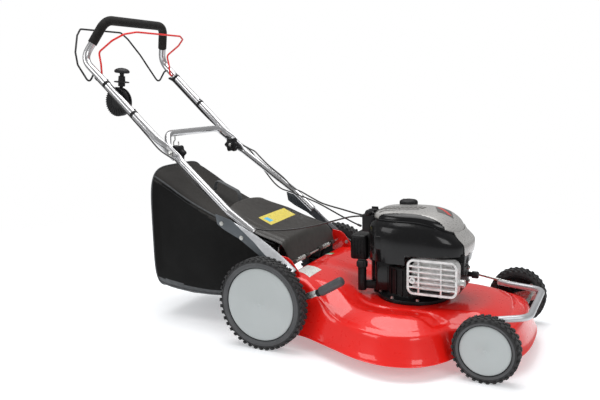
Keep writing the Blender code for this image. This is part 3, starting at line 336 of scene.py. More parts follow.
def cut(obj, cutters, operation="DIFFERENCE"):
    """Cuts the cutters out of a piece, or joins them to it, and removes them."""
    for cutter in cutters:
        modifier = obj.modifiers.new("Cut", "BOOLEAN")
        modifier.operation = operation
        modifier.solver = "EXACT"
        modifier.object = cutter
    settled(obj)
    for cutter in cutters:
        bpy.data.objects.remove(cutter, do_unlink=True)
    return obj


def fitted(obj, body, replaces=(), angle=32):
    """Smooths a finished piece and fixes it to the body that carries it."""
    shade(obj, angle)
    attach(obj, body)
    if replaces:
        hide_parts(*replaces)
    return obj


# ---------------------------------------------------------------- node trees for what repeats
class Tree:
    """A geometry node tree with named inputs and short calls that add its nodes."""

    def __init__(self, name, **inputs):
        self.tree = bpy.data.node_groups.new(name, "GeometryNodeTree")
        self.tree.is_modifier = True
        face = self.tree.interface
        face.new_socket("Geometry", in_out="INPUT", socket_type="NodeSocketGeometry")
        face.new_socket("Geometry", in_out="OUTPUT", socket_type="NodeSocketGeometry")
        for label, kind in inputs.items():
            face.new_socket(label.replace("_", " "), in_out="INPUT", socket_type="NodeSocket" + kind)
        face.new_socket("Finish", in_out="INPUT", socket_type="NodeSocketMaterial")
        self.inputs = self.tree.nodes.new("NodeGroupInput").outputs
        self.output = self.tree.nodes.new("NodeGroupOutput").inputs

    def link(self, value, socket):
        if isinstance(value, bpy.types.NodeSocket):
            self.tree.links.new(value, socket)
        else:
            socket.default_value = value

    def add(self, kind, *values, options=None, **named):
        """Adds a node. values fill its inputs in order, named ones by name; None leaves an input alone."""
        node = self.tree.nodes.new(kind)
        for key, value in (options or {}).items():
            setattr(node, key, value)
        for socket, value in zip(node.inputs, values):
            if value is not None:
                self.link(value, socket)
        for label, value in named.items():
            self.link(value, node.inputs[label.replace("_", " ")])
        return node

    def maths(self, operation, a, b=0.0):
        return self.add("ShaderNodeMath", a, b, options={"operation": operation}).outputs[0]

    def vector(self, x=0.0, y=0.0, z=0.0):
        return self.add("ShaderNodeCombineXYZ", x, y, z).outputs[0]

    def finish(self, instances):
        real = self.add("GeometryNodeRealizeInstances", instances).outputs[0]
        painted = self.add("GeometryNodeSetMaterial", real, None, self.inputs["Finish"]).outputs[0]
        self.tree.links.new(painted, self.output[0])
        return self.tree


def bar_row_tree():
    """Equal blocks along a straight line, each turned the same way."""
    t = Tree("Row of bars", Count="Int", First="Vector", Step="Vector", Size="Vector", Turn="Rotation")
    index = t.add("GeometryNodeInputIndex").outputs[0]
    scale, add = {"operation": "SCALE"}, {"operation": "ADD"}
    along = t.add("ShaderNodeVectorMath", t.inputs["Step"], options=scale, Scale=index).outputs[0]
    place = t.add("ShaderNodeVectorMath", t.inputs["First"], along, options=add).outputs[0]
    points = t.add("GeometryNodePoints", t.inputs["Count"], place).outputs[0]
    block = t.add("GeometryNodeMeshCube", t.inputs["Size"]).outputs[0]
    placed = t.add("GeometryNodeInstanceOnPoints", points, Instance=block, Rotation=t.inputs["Turn"])
    return t.finish(placed.outputs[0])


def bar_ring_tree():
    """Equal blocks round a circle in the XZ plane, such as tread lugs, each skewed about its own radius."""
    t = Tree(
        "Ring of bars", Count="Int", Radius="Float", Side="Float", Size="Vector", Skew="Float", Start="Float",
    )
    index = t.add("GeometryNodeInputIndex").outputs[0]
    share = t.maths("DIVIDE", t.maths("ADD", index, t.inputs["Start"]), t.inputs["Count"])
    angle = t.maths("MULTIPLY", share, 2 * math.pi)
    across = t.maths("MULTIPLY", t.maths("COSINE", angle), t.inputs["Radius"])
    up = t.maths("MULTIPLY", t.maths("SINE", angle), t.inputs["Radius"])
    place = t.vector(across, t.inputs["Side"], up)
    points = t.add("GeometryNodePoints", t.inputs["Count"], place).outputs[0]
    block = t.add("GeometryNodeMeshCube", t.inputs["Size"]).outputs[0]
    spin = t.add("FunctionNodeEulerToRotation", t.vector(0.0, t.maths("MULTIPLY", angle, -1.0))).outputs[0]
    skew = t.add("FunctionNodeEulerToRotation", t.vector(t.inputs["Skew"])).outputs[0]
    turn = t.add("FunctionNodeRotateRotation", spin, skew, options={"rotation_space": "LOCAL"}).outputs[0]
    return t.finish(t.add("GeometryNodeInstanceOnPoints", points, Instance=block, Rotation=turn).outputs[0])


def bolt_tree():
    """A flanged hexagon bolt head on each vertex of the input, standing along the vertex's axis attribute."""
    t = Tree("Bolts", Head_radius="Float", Head_height="Float")
    axis = t.add("GeometryNodeInputNamedAttribute", "axis", options={"data_type": "FLOAT_VECTOR"}).outputs[0]
    turn = t.add("FunctionNodeAlignRotationToVector", Vector=axis, options={"axis": "Z"}).outputs[0]
    radius, height = t.inputs["Head radius"], t.inputs["Head height"]
    wide, half = t.maths("MULTIPLY", radius, 1.45), t.maths("MULTIPLY", height, 0.5)
    flange = t.add("GeometryNodeMeshCylinder", 20, Radius=wide, Depth=half).outputs[0]
    head = t.add("GeometryNodeMeshCylinder", 6, Radius=radius, Depth=height).outputs[0]
    lifted = t.add("GeometryNodeTransform", head, Translation=t.vector(0.0, 0.0, half)).outputs[0]
    join = t.tree.nodes.new("GeometryNodeJoinGeometry")
    t.tree.links.new(flange, join.inputs[0])
    t.tree.links.new(lifted, join.inputs[0])
    spots_in = t.inputs["Geometry"]
    placed = t.add("GeometryNodeInstanceOnPoints", spots_in, Instance=join.outputs[0], Rotation=turn)
    return t.finish(placed.outputs[0])


def stitch_tree():
    """Short raised threads laid end to end along the input's edges."""
    t = Tree("Stitches", Pitch="Float", Length="Float", Thread="Float")
    curve = t.add("GeometryNodeMeshToCurve", t.inputs["Geometry"]).outputs[0]
    points = t.add("GeometryNodeCurveToPoints", curve, None, t.inputs["Pitch"], options={"mode": "LENGTH"})
    sizes = {"Radius": t.inputs["Thread"], "Depth": t.inputs["Length"]}
    thread = t.add("GeometryNodeMeshCylinder", 6, **sizes).outputs[0]
    tangent = points.outputs["Tangent"]
    turn = t.add("FunctionNodeAlignRotationToVector", Vector=tangent, options={"axis": "Z"}).outputs[0]
    placed = t.add("GeometryNodeInstanceOnPoints", points.outputs["Points"], Instance=thread, Rotation=turn)
    return t.finish(placed.outputs[0])


TREES = {"bars": bar_row_tree, "ring": bar_ring_tree, "bolts": bolt_tree, "stitches": stitch_tree}
made_trees = {}


def grown(name, kind, finish, base=None, **values):
    """Runs a node tree once on the base mesh, or on none, and returns the result as a plain object."""
    if kind not in made_trees:
        made_trees[kind] = TREES[kind]()
    tree = made_trees[kind]
    obj = bpy.data.objects.new(name, base or bpy.data.meshes.new(name))
    modifier = obj.modifiers.new("Repeat", "NODES")
    modifier.node_group = tree
    values["Finish"] = finishes[finish]
    for item in tree.interface.items_tree:
        key = item.name.replace(" ", "_")
        if item.in_out == "INPUT" and key in values:
            modifier[item.identifier] = values[key]
    bpy.context.scene.collection.objects.link(obj)
    settled(obj)
    if not obj.data.materials:
        obj.data.materials.append(finishes[finish])
    obj.data.transform(Matrix.Translation(AXLE))
    return obj


def spots(points):
    """A mesh of bare vertices, each with the axis that a bolt on it stands along."""
    mesh = bpy.data.meshes.new("spots")
    mesh.from_pydata([Vector(p) for p, _ in points], [], [])
    axis = mesh.attributes.new("axis", "FLOAT_VECTOR", "POINT")
    for item, (_, direction) in zip(axis.data, points):
        item.vector = Vector(direction).normalized()
    return mesh


def bolt_heads(name, body, heads, radius, height):
    """Zinc bolt heads of one size on a body, given as (place, direction) pairs."""
    obj = grown(name, "bolts", "zinc_steel", spots(heads), Head_radius=radius, Head_height=height)
    return fitted(obj, body, ())


def strand(points):
    """A mesh of edges along a path."""
    mesh = bpy.data.meshes.new("strand")
    mesh.from_pydata([Vector(p) for p in points], [(i, i + 1) for i in range(len(points) - 1)], [])
    return mesh


def joined(first, *others):
    """Adds the meshes of others to first, keeping their finishes, and removes them."""
    bm = bmesh.new()
    used = []
    for obj in (first, *others):
        start = len(bm.faces)
        bm.from_mesh(obj.data)
        bm.faces.ensure_lookup_table()
        index = []
        for one in obj.data.materials:
            if one not in used:
                used.append(one)
            index.append(used.index(one))
        for face in bm.faces[start:]:
            face.material_index = index[face.material_index] if index else 0
    mesh = bpy.data.meshes.new(first.name)
    bm.to_mesh(mesh)
    bm.free()
    for one in used:
        mesh.materials.append(one)
    first.data = mesh
    for obj in others:
        bpy.data.objects.remove(obj, do_unlink=True)
    return first


# ---------------------------------------------------------------- finishes
class Finish:
    """A Principled material with short calls for its pattern nodes, all on the piece's own coordinates."""

    def __init__(
        self, name, colour, roughness, metallic=0.0, coat=0.0, coat_roughness=0.05, sheen=0.0, specular=0.5
    ):
        self.material = bpy.data.materials.new(name)
        self.material.use_nodes = True
        self.nodes = self.material.node_tree.nodes
        self.shader = self.nodes["Principled BSDF"]
        self.place = self.nodes.new("ShaderNodeTexCoord").outputs["Object"]
        self.colour = colour
        self.roughness = roughness
        settings = {
            "Base Color": (*colour, 1.0),
            "Roughness": roughness,
            "Metallic": metallic,
            "Coat Weight": coat,
            "Coat Roughness": coat_roughness,
            "Sheen Weight": sheen,
            "Sheen Roughness": 0.45,
            "Specular IOR Level": specular,
        }
        for label, value in settings.items():
            self.shader.inputs[label].default_value = value
        self.height = None

    def link(self, a, b):
        self.material.node_tree.links.new(a, b)

    def mapped(self, stretch):
        node = self.nodes.new("ShaderNodeMapping")
        node.inputs["Scale"].default_value = stretch
        self.link(self.place, node.inputs["Vector"])
        return node.outputs[0]

    def noise(self, scale, detail=3.0, stretch=None, roughness=0.5):
        node = self.nodes.new("ShaderNodeTexNoise")
        node.inputs["Scale"].default_value = scale
        node.inputs["Detail"].default_value = detail
        node.inputs["Roughness"].default_value = roughness
        self.link(self.mapped(stretch) if stretch else self.place, node.inputs["Vector"])
        return node.outputs["Fac"]

    def cells(self, scale, stretch=None):
        node = self.nodes.new("ShaderNodeTexVoronoi")
        node.inputs["Scale"].default_value = scale
        self.link(self.mapped(stretch) if stretch else self.place, node.inputs["Vector"])
        return node.outputs["Distance"]

    def wave(self, scale, direction, distortion=0.0):
        node = self.nodes.new("ShaderNodeTexWave")
        node.bands_direction = direction
        node.inputs["Scale"].default_value = scale
        node.inputs["Distortion"].default_value = distortion
        self.link(self.place, node.inputs["Vector"])
        return node.outputs["Fac"]

    def maths(self, operation, a, b):
        node = self.nodes.new("ShaderNodeMath")
        node.operation = operation
        for value, socket in ((a, node.inputs[0]), (b, node.inputs[1])):
            if isinstance(value, bpy.types.NodeSocket):
                self.link(value, socket)
            else:
                socket.default_value = value
        return node.outputs[0]

    def ramp(self, value, low, high, from_low=0.35, from_high=0.65):
        """Maps a pattern value onto a range."""
        node = self.nodes.new("ShaderNodeMapRange")
        self.link(value, node.inputs["Value"])
        node.inputs["From Min"].default_value = from_low
        node.inputs["From Max"].default_value = from_high
        node.inputs["To Min"].default_value = low
        node.inputs["To Max"].default_value = high
        return node.outputs[0]

    def tint(self, value, dark, light, low=0.35, high=0.65):
        """Varies the colour between two shares of itself, or between two colours, by a pattern."""
        node = self.nodes.new("ShaderNodeValToRGB")
        self.link(value, node.inputs[0])
        for stop, share, place in zip(node.color_ramp.elements, (dark, light), (low, high)):
            shade_of = share if isinstance(share, tuple) else tuple(c * share for c in self.colour)
            stop.color = (*shade_of, 1.0)
            stop.position = place
        self.link(node.outputs[0], self.shader.inputs["Base Color"])
        return self

    def gloss(self, value, spread):
        level = self.ramp(value, self.roughness - spread, self.roughness + spread)
        self.link(level, self.shader.inputs["Roughness"])
        return self

    def bump(self, value, depth, strength=1.0):
        """Raises the surface by the pattern, depth in metres."""
        node = self.nodes.new("ShaderNodeBump")
        node.inputs["Strength"].default_value = strength
        node.inputs["Distance"].default_value = depth
        self.link(value, node.inputs["Height"])
        if self.height:
            self.link(self.height, node.inputs["Normal"])
        self.height = node.outputs[0]
        self.link(self.height, self.shader.inputs["Normal"])
        return self


finishes = {}


def red_paint():
    f = Finish("red_paint", hue("paint"), 0.32, coat=0.75, coat_roughness=0.04, specular=0.25)
    f.tint(f.noise(7.0), 0.96, 1.03)
    f.gloss(f.noise(60.0), 0.05)
    return f.bump(f.noise(420.0, 2.0), 0.00003, 0.25).bump(f.noise(5.0, 1.0), 0.0016, 0.05)


def silver_paint():
    f = Finish("silver_paint", (0.50, 0.51, 0.53), 0.36, metallic=0.55, coat=0.25, coat_roughness=0.2)
    f.tint(f.noise(14.0), 0.94, 1.05)
    f.gloss(f.noise(120.0), 0.06)
    return f.bump(f.noise(1400.0), 0.00004, 0.5)


# Painted shade: the handle brackets are silver paint, and this darker blue-grey stands in for the shade on
# their upright webs, while the lit flanges keep silver_paint.
def bracket_grey():
    f = Finish("bracket_grey", (0.085, 0.097, 0.108), 0.50, metallic=0.15)
    f.tint(f.noise(26.0), 0.86, 1.12)
    f.gloss(f.noise(90.0), 0.08)
    return f.bump(f.noise(900.0), 0.00005, 0.5)


def bright_tube():
    f = Finish("bright_tube", (0.60, 0.60, 0.61), 0.24, metallic=0.92)
    f.tint(f.noise(11.0), 0.93, 1.03)
    f.gloss(f.noise(300.0, 3.0, (1.0, 1.0, 6.0)), 0.07)
    return f.bump(f.noise(700.0, 2.0), 0.00003, 0.5)


def zinc_steel():
    f = Finish("zinc_steel", (0.62, 0.62, 0.60), 0.34, metallic=1.0)
    f.tint(f.noise(90.0), 0.82, 1.08)
    f.gloss(f.noise(220.0), 0.08)
    return f.bump(f.noise(1500.0), 0.00004, 0.6)


def dark_steel():
    f = Finish("dark_steel", (0.055, 0.055, 0.058), 0.46, metallic=0.7)
    f.tint(f.noise(60.0), 0.75, 1.25)
    f.gloss(f.noise(150.0), 0.08)
    return f.bump(f.noise(800.0), 0.00005, 0.6)


def cast_aluminium():
    f = Finish("cast_aluminium", (0.78, 0.78, 0.77), 0.38, metallic=0.75)
    f.tint(f.noise(70.0, 4.0), 0.80, 1.06)
    f.gloss(f.noise(160.0), 0.10)
    return f.bump(f.cells(1300.0), 0.00010, 0.6).bump(f.noise(240.0), 0.00025, 0.5)


def black_gloss():
    f = Finish("black_gloss", hue("cowl"), 0.20, coat=0.22, coat_roughness=0.04, specular=0.22)
    f.tint(f.noise(16.0), 0.85, 1.2)
    f.gloss(f.noise(90.0), 0.05)
    return f.bump(f.noise(900.0, 2.0), 0.00003, 0.4).bump(f.noise(18.0), 0.0010, 0.08)


def black_plastic():
    f = Finish("black_plastic", (0.009, 0.009, 0.010), 0.46, specular=0.28)
    f.tint(f.noise(30.0), 0.8, 1.25)
    f.gloss(f.noise(80.0), 0.07)
    return f.bump(f.cells(1600.0), 0.00008, 0.45)


def engine_black():
    f = Finish("engine_black", (0.006, 0.006, 0.0065), 0.36, specular=0.22)
    f.tint(f.noise(40.0), 0.8, 1.35)
    f.gloss(f.noise(120.0), 0.10)
    return f.bump(f.noise(600.0, 4.0), 0.00018, 0.5)


def flap_plastic():
    f = Finish("flap_plastic", (0.026, 0.023, 0.020), 0.40, specular=0.45)
    f.tint(f.noise(12.0), 0.90, 1.10)
    f.gloss(f.noise(50.0), 0.05)
    return f.bump(f.cells(1300.0), 0.00010, 0.5).bump(f.noise(14.0), 0.0012, 0.12)


def silver_plastic():
    f = Finish("silver_plastic", (0.50, 0.49, 0.475), 0.30, metallic=0.45, coat=0.3, coat_roughness=0.12)
    f.tint(f.noise(22.0), 0.95, 1.04)
    f.gloss(f.noise(200.0), 0.05)
    return f.bump(f.noise(40.0, 1.0), 0.0002, 0.08)


def wheel_grey():
    f = Finish("wheel_grey", hue("cover"), 0.46, coat=0.08, coat_roughness=0.3)
    f.tint(f.noise(9.0), 0.965, 1.02)
    f.gloss(f.noise(60.0), 0.04)
    return f.bump(f.cells(1500.0), 0.00005, 0.4)


def tyre_rubber():
    f = Finish("tyre_rubber", (0.028, 0.028, 0.029), 0.72, specular=0.35, sheen=0.04)
    f.tint(f.noise(40.0, 4.0), 0.78, 1.30)
    f.gloss(f.noise(90.0), 0.09)
    return f.bump(f.noise(700.0, 3.0), 0.00015, 0.6)


def tyre_wall():
    f = Finish("tyre_wall", (0.070, 0.072, 0.075), 0.60, specular=0.4)
    f.tint(f.noise(24.0), 0.88, 1.12)
    f.gloss(f.noise(70.0), 0.07)
    return f.bump(f.noise(600.0), 0.00010, 0.5)


def foam():
    f = Finish("foam", (0.014, 0.0135, 0.013), 0.88, sheen=0.06, specular=0.25)
    f.tint(f.noise(70.0), 0.75, 1.25)
    return f.bump(f.cells(620.0), 0.00045, 0.7).bump(f.noise(1500.0), 0.0002, 0.5)


def bag_mesh():
    f = Finish("bag_mesh", hue("bag"), 0.88, sheen=0.02, specular=0.15)
    warp, weft = f.wave(330.0, "X", 0.4), f.wave(330.0, "Z", 0.4)
    weave = f.maths("MULTIPLY", warp, weft)
    f.tint(f.noise(6.0, 4.0), 0.8, 1.35)
    return f.bump(weave, 0.00035, 0.7).bump(f.noise(22.0, 4.0), 0.0025, 0.25)


def bag_cloth():
    f = Finish("bag_cloth", (0.016, 0.014, 0.012), 0.66, sheen=0.03, specular=0.30)
    warp, weft = f.wave(420.0, "X", 0.3), f.wave(420.0, "Y", 0.3)
    f.tint(f.noise(8.0, 3.0), 0.85, 1.25)
    return f.bump(f.maths("ADD", warp, weft), 0.00012, 0.5).bump(f.noise(16.0, 3.0), 0.003, 0.30)


def bag_trim():
    f = Finish("bag_trim", (0.062, 0.066, 0.070), 0.7, sheen=0.1)
    f.tint(f.noise(60.0), 0.85, 1.2)
    return f.bump(f.wave(500.0, "DIAGONAL", 0.2), 0.00015, 0.6)


def cable_sheath():
    f = Finish("cable_sheath", (0.016, 0.015, 0.015), 0.42, coat=0.15, coat_roughness=0.3)
    f.tint(f.noise(50.0), 0.85, 1.3)
    f.gloss(f.noise(100.0), 0.08)
    return f.bump(f.noise(900.0), 0.00004, 0.5)


def belt_rubber():
    f = Finish("belt_rubber", (0.020, 0.020, 0.020), 0.85)
    f.tint(f.noise(80.0), 0.8, 1.3)
    return f.bump(f.noise(900.0), 0.0002, 0.6)


def grip_rubber():
    f = Finish("grip_rubber", (0.058, 0.060, 0.064), 0.55)
    f.tint(f.noise(40.0), 0.88, 1.15)
    f.gloss(f.noise(90.0), 0.06)
    return f.bump(f.cells(900.0), 0.0001, 0.5)


def label_of(name, colour, marks, scale):
    """A printed label: plain colour with rows of small dark dashes that stand for print."""
    f = Finish(name, colour, 0.35, coat=0.3, coat_roughness=0.15)
    rows = f.wave(scale, "X")
    words = f.noise(scale * 9.0, 1.0, (1.0, 0.55, 1.0))
    ink = f.maths("MULTIPLY", f.ramp(rows, 0.0, 1.0, 0.62, 0.70), f.ramp(words, 0.0, 1.0, 0.50, 0.56))
    return f.tint(ink, colour, marks, 0.05, 0.9)


def flat_ink(name, colour):
    f = Finish(name, colour, 0.35, coat=0.3, coat_roughness=0.15)
    return f.tint(f.noise(50.0), 0.97, 1.03)


def make_finishes():
    makers = (
        red_paint, silver_paint, bracket_grey, bright_tube, zinc_steel, dark_steel, cast_aluminium,
        black_gloss, black_plastic, engine_black, flap_plastic, silver_plastic, wheel_grey, tyre_rubber,
        tyre_wall, foam, bag_mesh, bag_cloth, bag_trim, cable_sheath, belt_rubber, grip_rubber,
    )
    for maker in makers:
        finishes[maker.__name__] = maker().material
    labels = {
        "paper_label": ((0.80, 0.80, 0.76), (0.16, 0.15, 0.14), 75.0),
        "yellow_label": ((0.80, 0.66, 0.10), (0.30, 0.22, 0.05), 60.0),
        "dark_label": ((0.055, 0.052, 0.050), (0.30, 0.29, 0.28), 90.0),
    }
    for name, (colour, marks, scale) in labels.items():
        finishes[name] = label_of(name, colour, marks, scale).material
    inks = {
        "red_ink": (0.62, 0.04, 0.03),
        "blue_ink": (0.10, 0.48, 0.72),
        "green_ink": (0.03, 0.35, 0.10),
        "white_ink": (0.75, 0.75, 0.73),
    }
    for name, colour in inks.items():
        finishes[name] = flat_ink(name, colour).material


# ---------------------------------------------------------------- wheels and height adjuster
WHEELS = {
    # name: distance ahead of the rear axle, radius, outer face, width, bead radius, lug count
    "rear": (0.0, REAR_RADIUS, 0.3013, 0.045, 0.1125, 44),
    "front": (WHEELBASE, FRONT_RADIUS, 0.2780, 0.042, 0.0690, 30),
}


def recolour(obj, index, test):
    """Gives another of the piece's finishes to the faces whose centre passes the test."""
    for face in obj.data.polygons:
        if test(face.center - AXLE, face.normal):
            face.material_index = index


def make_tyre(end, side):
    x, radius, face, width, bead, lugs = WHEELS[end]
    inner, crown = face - width, radius - 0.0034
    profile = [
        (bead, inner + 0.0030),
        (bead + 0.004, inner + 0.0010),
        (crown - 0.010, inner + 0.0004),
        (crown - 0.004, inner + 0.0022),
        (crown - 0.001, inner + 0.0070),
        (crown, inner + 0.0120),
        (crown + 0.0006, face - width / 2),
        (crown, face - 0.0120),
        (crown - 0.001, face - 0.0070),
        (crown - 0.004, face - 0.0022),
        (crown - 0.008, face - 0.0006),
        (crown - 0.0095, face - 0.0014),
        (crown - 0.0110, face - 0.0016),
        (bead + 0.0085, face - 0.0012),
        (bead + 0.0070, face - 0.0002),
        (bead + 0.0035, face - 0.0002),
        (bead + 0.0012, face - 0.0016),
        (bead, face - 0.0036),
    ]
    tyre = Shape().turned([(r, side * y) for r, y in profile], (x, radius), "Y", 96)
    name = f"{end}_{'left' if side > 0 else 'right'}_tyre"
    obj = tyre.object(name, "tyre_rubber", "tyre_wall")
    wall = crown - 0.0095
    recolour(obj, 1, lambda c, n: math.hypot(c.x - x, c.z - radius) < wall and abs(c.y) > face - 0.006)
    rows = (
        # share of the width from the middle, axial length, tangential length, skew, phase
        (0.40, 0.0100, 0.0105, 0.28, 0.0),
        (0.185, 0.0085, 0.0115, -0.42, 0.5),
        (-0.03, 0.0080, 0.0100, 0.45, 0.1),
        (-0.225, 0.0085, 0.0115, -0.30, 0.6),
        (-0.385, 0.0090, 0.0105, 0.28, 0.3),
    )
    parts = []
    for share, axial, along, skew, phase in rows:
        length = along * (0.95 if end == "rear" else 0.85)
        ring = grown(
            "lugs", "ring", "tyre_rubber", Count=lugs, Radius=radius - 0.0030,
            Side=side * share * width, Size=(0.0052, axial, length), Skew=skew, Start=phase,
        )
        ring.data.transform(Matrix.Translation((x, side * (face - width / 2), radius)))
        parts.append(ring)
    lugs_all = bevelled(joined(*parts), 0.0008, 1)
    joined(obj, lugs_all)
    return fitted(obj, name.replace("_tyre", "_wheel"), [name], 40)


def make_rim(end, side):
    x, radius, face, width, bead, _ = WHEELS[end]
    inner = face - width
    low, high = face - 0.0255, face - 0.0215
    driven = end == "rear"
    gear = [(0.0620, low), (0.0620, inner + 0.006), (0.0680, inner + 0.006), (0.0680, low)] if driven else []
    profile = [
        (0.0084, inner + 0.005),
        (0.0170, inner + 0.005),
        (0.0185, low),
        *gear,
        (bead - 0.0085, low),
        (bead - 0.0080, inner + 0.006),
        (bead - 0.0070, inner + 0.004),
        (bead - 0.0005, inner + 0.004),
        (bead - 0.0005, face - 0.0060),
        (bead - 0.0080, face - 0.0058),
        (bead - 0.0085, high),
        (0.0185, high),
        (0.0170, face - 0.0105),
        (0.0084, face - 0.0105),
    ]
    name = f"{end}_{'left' if side > 0 else 'right'}_rim"
    place = (x, side * (face - width / 2), radius)
    rim = Shape().turned([(r, side * y) for r, y in profile], (x, radius), "Y", 72)
    obj = bevelled(rim.object(name, "black_plastic"), 0.0006, 1)
    count, middle_radius, length = (14, 0.0860, 0.0350) if driven else (10, bead / 2 + 0.005, bead - 0.0290)
    ribs = grown(
        "ribs", "ring", "black_plastic", Count=count, Radius=middle_radius, Side=-side * 0.0095,
        Size=(length, 0.0130, 0.0030), Skew=0.0, Start=0.0,
    )
    if driven:
        teeth = grown(
            "teeth", "ring", "black_plastic", Count=64, Radius=0.0614, Side=-side * 0.0090,
            Size=(0.0022, 0.0120, 0.0026), Skew=0.0, Start=0.0,
        )
        ribs = joined(ribs, teeth)
    ribs.data.transform(Matrix.Translation(place))
    joined(obj, ribs)
    return fitted(obj, name.replace("_rim", "_wheel"), [name])


def make_cover(end, side):
    x, radius, face, _, bead, _ = WHEELS[end]
    profile = [
        (0.0, face - 0.0006),
        (0.0024, face - 0.0006),
        (0.0030, face - 0.0001),
        (0.0060, face - 0.0001),
        (0.0066, face - 0.0006),
        (bead - 0.030, face - 0.0008),
        (bead - 0.012, face - 0.0012),
        (bead - 0.006, face - 0.0019),
        (bead - 0.0032, face - 0.0032),
        (bead - 0.0020, face - 0.0050),
        (bead - 0.0040, face - 0.0054),
        (bead - 0.0100, face - 0.0044),
        (0.0, face - 0.0032),
    ]
    name = f"{end}_{'left' if side > 0 else 'right'}_cover"
    cover = Shape().turned([(r, side * y) for r, y in profile], (x, radius), "Y", 96)
    obj = cover.object(name, "wheel_grey")
    return fitted(obj, name.replace("_cover", "_wheel"), [name], 50)


def make_wheels():
    for end in WHEELS:
        for side in (RIGHT, LEFT):
            make_tyre(end, side)
            make_rim(end, side)
            make_cover(end, side)


def make_height_lever():
    """Ribbed grip with a domed end, and the sleeve on the lever's flat below it."""
    start, end = Vector((0.1780, -0.2505, 0.1873)), Vector((0.2475, -0.2505, 0.2288))
    along = end - start
    stations = ((0.0, 0.92), (0.02, 0.99), (0.06, 1.0), (0.86, 1.0), (0.93, 0.97), (0.975, 0.88), (1.0, 0.72))
    frames = path_frames([start + along * t for t, _ in stations])
    rings = []
    for (point, u, v), (_, share) in zip(frames, stations):
        ring = []
        for k in range(60):
            a = 2 * math.pi * k / 60
            size = 0.0136 * share + 0.0004 * math.cos(12 * a)
            ring.append(point + u * size * math.cos(a) + v * size * math.sin(a))
        rings.append(ring)
    grip = Shape()
    grip.skin(rings)
    obj = grip.object("height_lever_grip", "grip_rubber")
    fitted(obj, "height_adjuster", ["height_lever_grip"], 50)
    sleeve = Shape()
    foot = start - along * 0.16
    sleeve.tube([foot, start - along * 0.08, start + along * 0.01], 0.0105, 32)
    obj = bevelled(sleeve.object("height_lever_sleeve", "engine_black"), 0.001, 2)
    fitted(obj, "height_adjuster", ())
    pin = ((REAR_PIVOT[0], LEFT * 0.2545, REAR_PIVOT[1] + 0.03), (0, LEFT, 0))
    bolt_heads("link_pin_head", "height_adjuster", [pin], 0.0045, 0.003)


# ---------------------------------------------------------------- deck
LIP_Z = 0.040
SEAT_Z = 0.150
DECK_GAUGE = 0.0025
LIP = (
    (0.040, -0.228),
    (0.075, -0.242),
    (0.125, -0.249),
    (0.231, -0.300),
    (0.327, -0.345),
    (0.409, -0.359),
    (0.478, -0.343),
    (0.522, -0.309),
    (0.551, -0.268),
    (0.567, -0.238),
    (0.605, -0.229),
    (0.672, -0.2215),
    (0.715, -0.188),
    (0.738, -0.110),
    (0.743, 0.000),
    (0.733, 0.105),
    (0.700, 0.172),
    (0.630, 0.210),
    (0.520, 0.229),
    (0.350, 0.236),
    (0.180, 0.238),
    (0.075, 0.240),
    (0.040, 0.228),
    (0.022, 0.195),
    (0.018, 0.100),
    (0.018, -0.100),
    (0.022, -0.195),
)
SWIRL = ((0.215, -0.080), (0.255, -0.140), (0.308, -0.180), (0.365, -0.195), (0.430, -0.190), (0.520, -0.198),
         (0.590, -0.216), (0.640, -0.228))
CREASE = ((0.040, 0.070), (0.075, 0.030), (0.105, 0.014), (0.150, 0.034), (0.204, 0.060), (0.270, 0.085))


def shoulder_z(x):
    return 0.120 + 0.094 * (1 - ease(x, 0.08, 0.26))


def ridge_z(x):
    return SEAT_Z + 0.068 * (1 - ease(x, 0.06, 0.30))


def beside(line, point):
    """Signed distance from a plan line, positive on its right-hand side, and the share of the line passed."""
    best, signed, share = 1e9, 0.0, 0.0
    for i, (a, b) in enumerate(zip(line, line[1:])):
        a, b = Vector(a), Vector(b)
        t = min(1.0, max(0.0, (point - a).dot(b - a) / (b - a).length_squared))
        away = point - a.lerp(b, t)
        if away.length < best:
            best = away.length
            side = (b - a).x * away.y - (b - a).y * away.x
            signed = -math.copysign(best, side)
            share = (i + t) / (len(line) - 1)
    return signed, share


def deck_top(x, y, fraction, lines):
    """Height of the pressed top, with its swirl step, its crease and the bead along the front edge."""
    z = mix(shoulder_z(x), ridge_z(x), ease(1 - fraction, 0.0, 0.32))
    here = Vector((x, y))
    swirl, passed = beside(lines[0], here)
    fade = ease(passed, 0.0, 0.25) * (1 - ease(passed, 0.90, 1.0)) * ease(1 - fraction, 0.04, 0.12)
    z -= 0.0055 * fade * (ease(swirl, 0.0, 0.011) - ease(swirl, 0.040, 0.062))
    crease, passed = beside(lines[1], here)
    fade = ease(passed, 0.02, 0.15) * (1 - ease(passed, 0.80, 1.0)) * (1 - ease(abs(crease), 0.03, 0.07))
    z -= 0.0045 * fade * ease(crease, -0.004, 0.005)
    heading = math.degrees(math.atan2(y - CRANK.y, x - CRANK.x))
    front = ease(heading, -32.0, -8.0) * (1 - ease(heading, 105.0, 130.0))
    bead = 1 - ease(abs(fraction - 0.885), 0.0, 0.020)
    rise = ease(0.885 - fraction, 0.0, 0.03)
    return z + front * (0.0020 * rise - 0.0034 * bead)


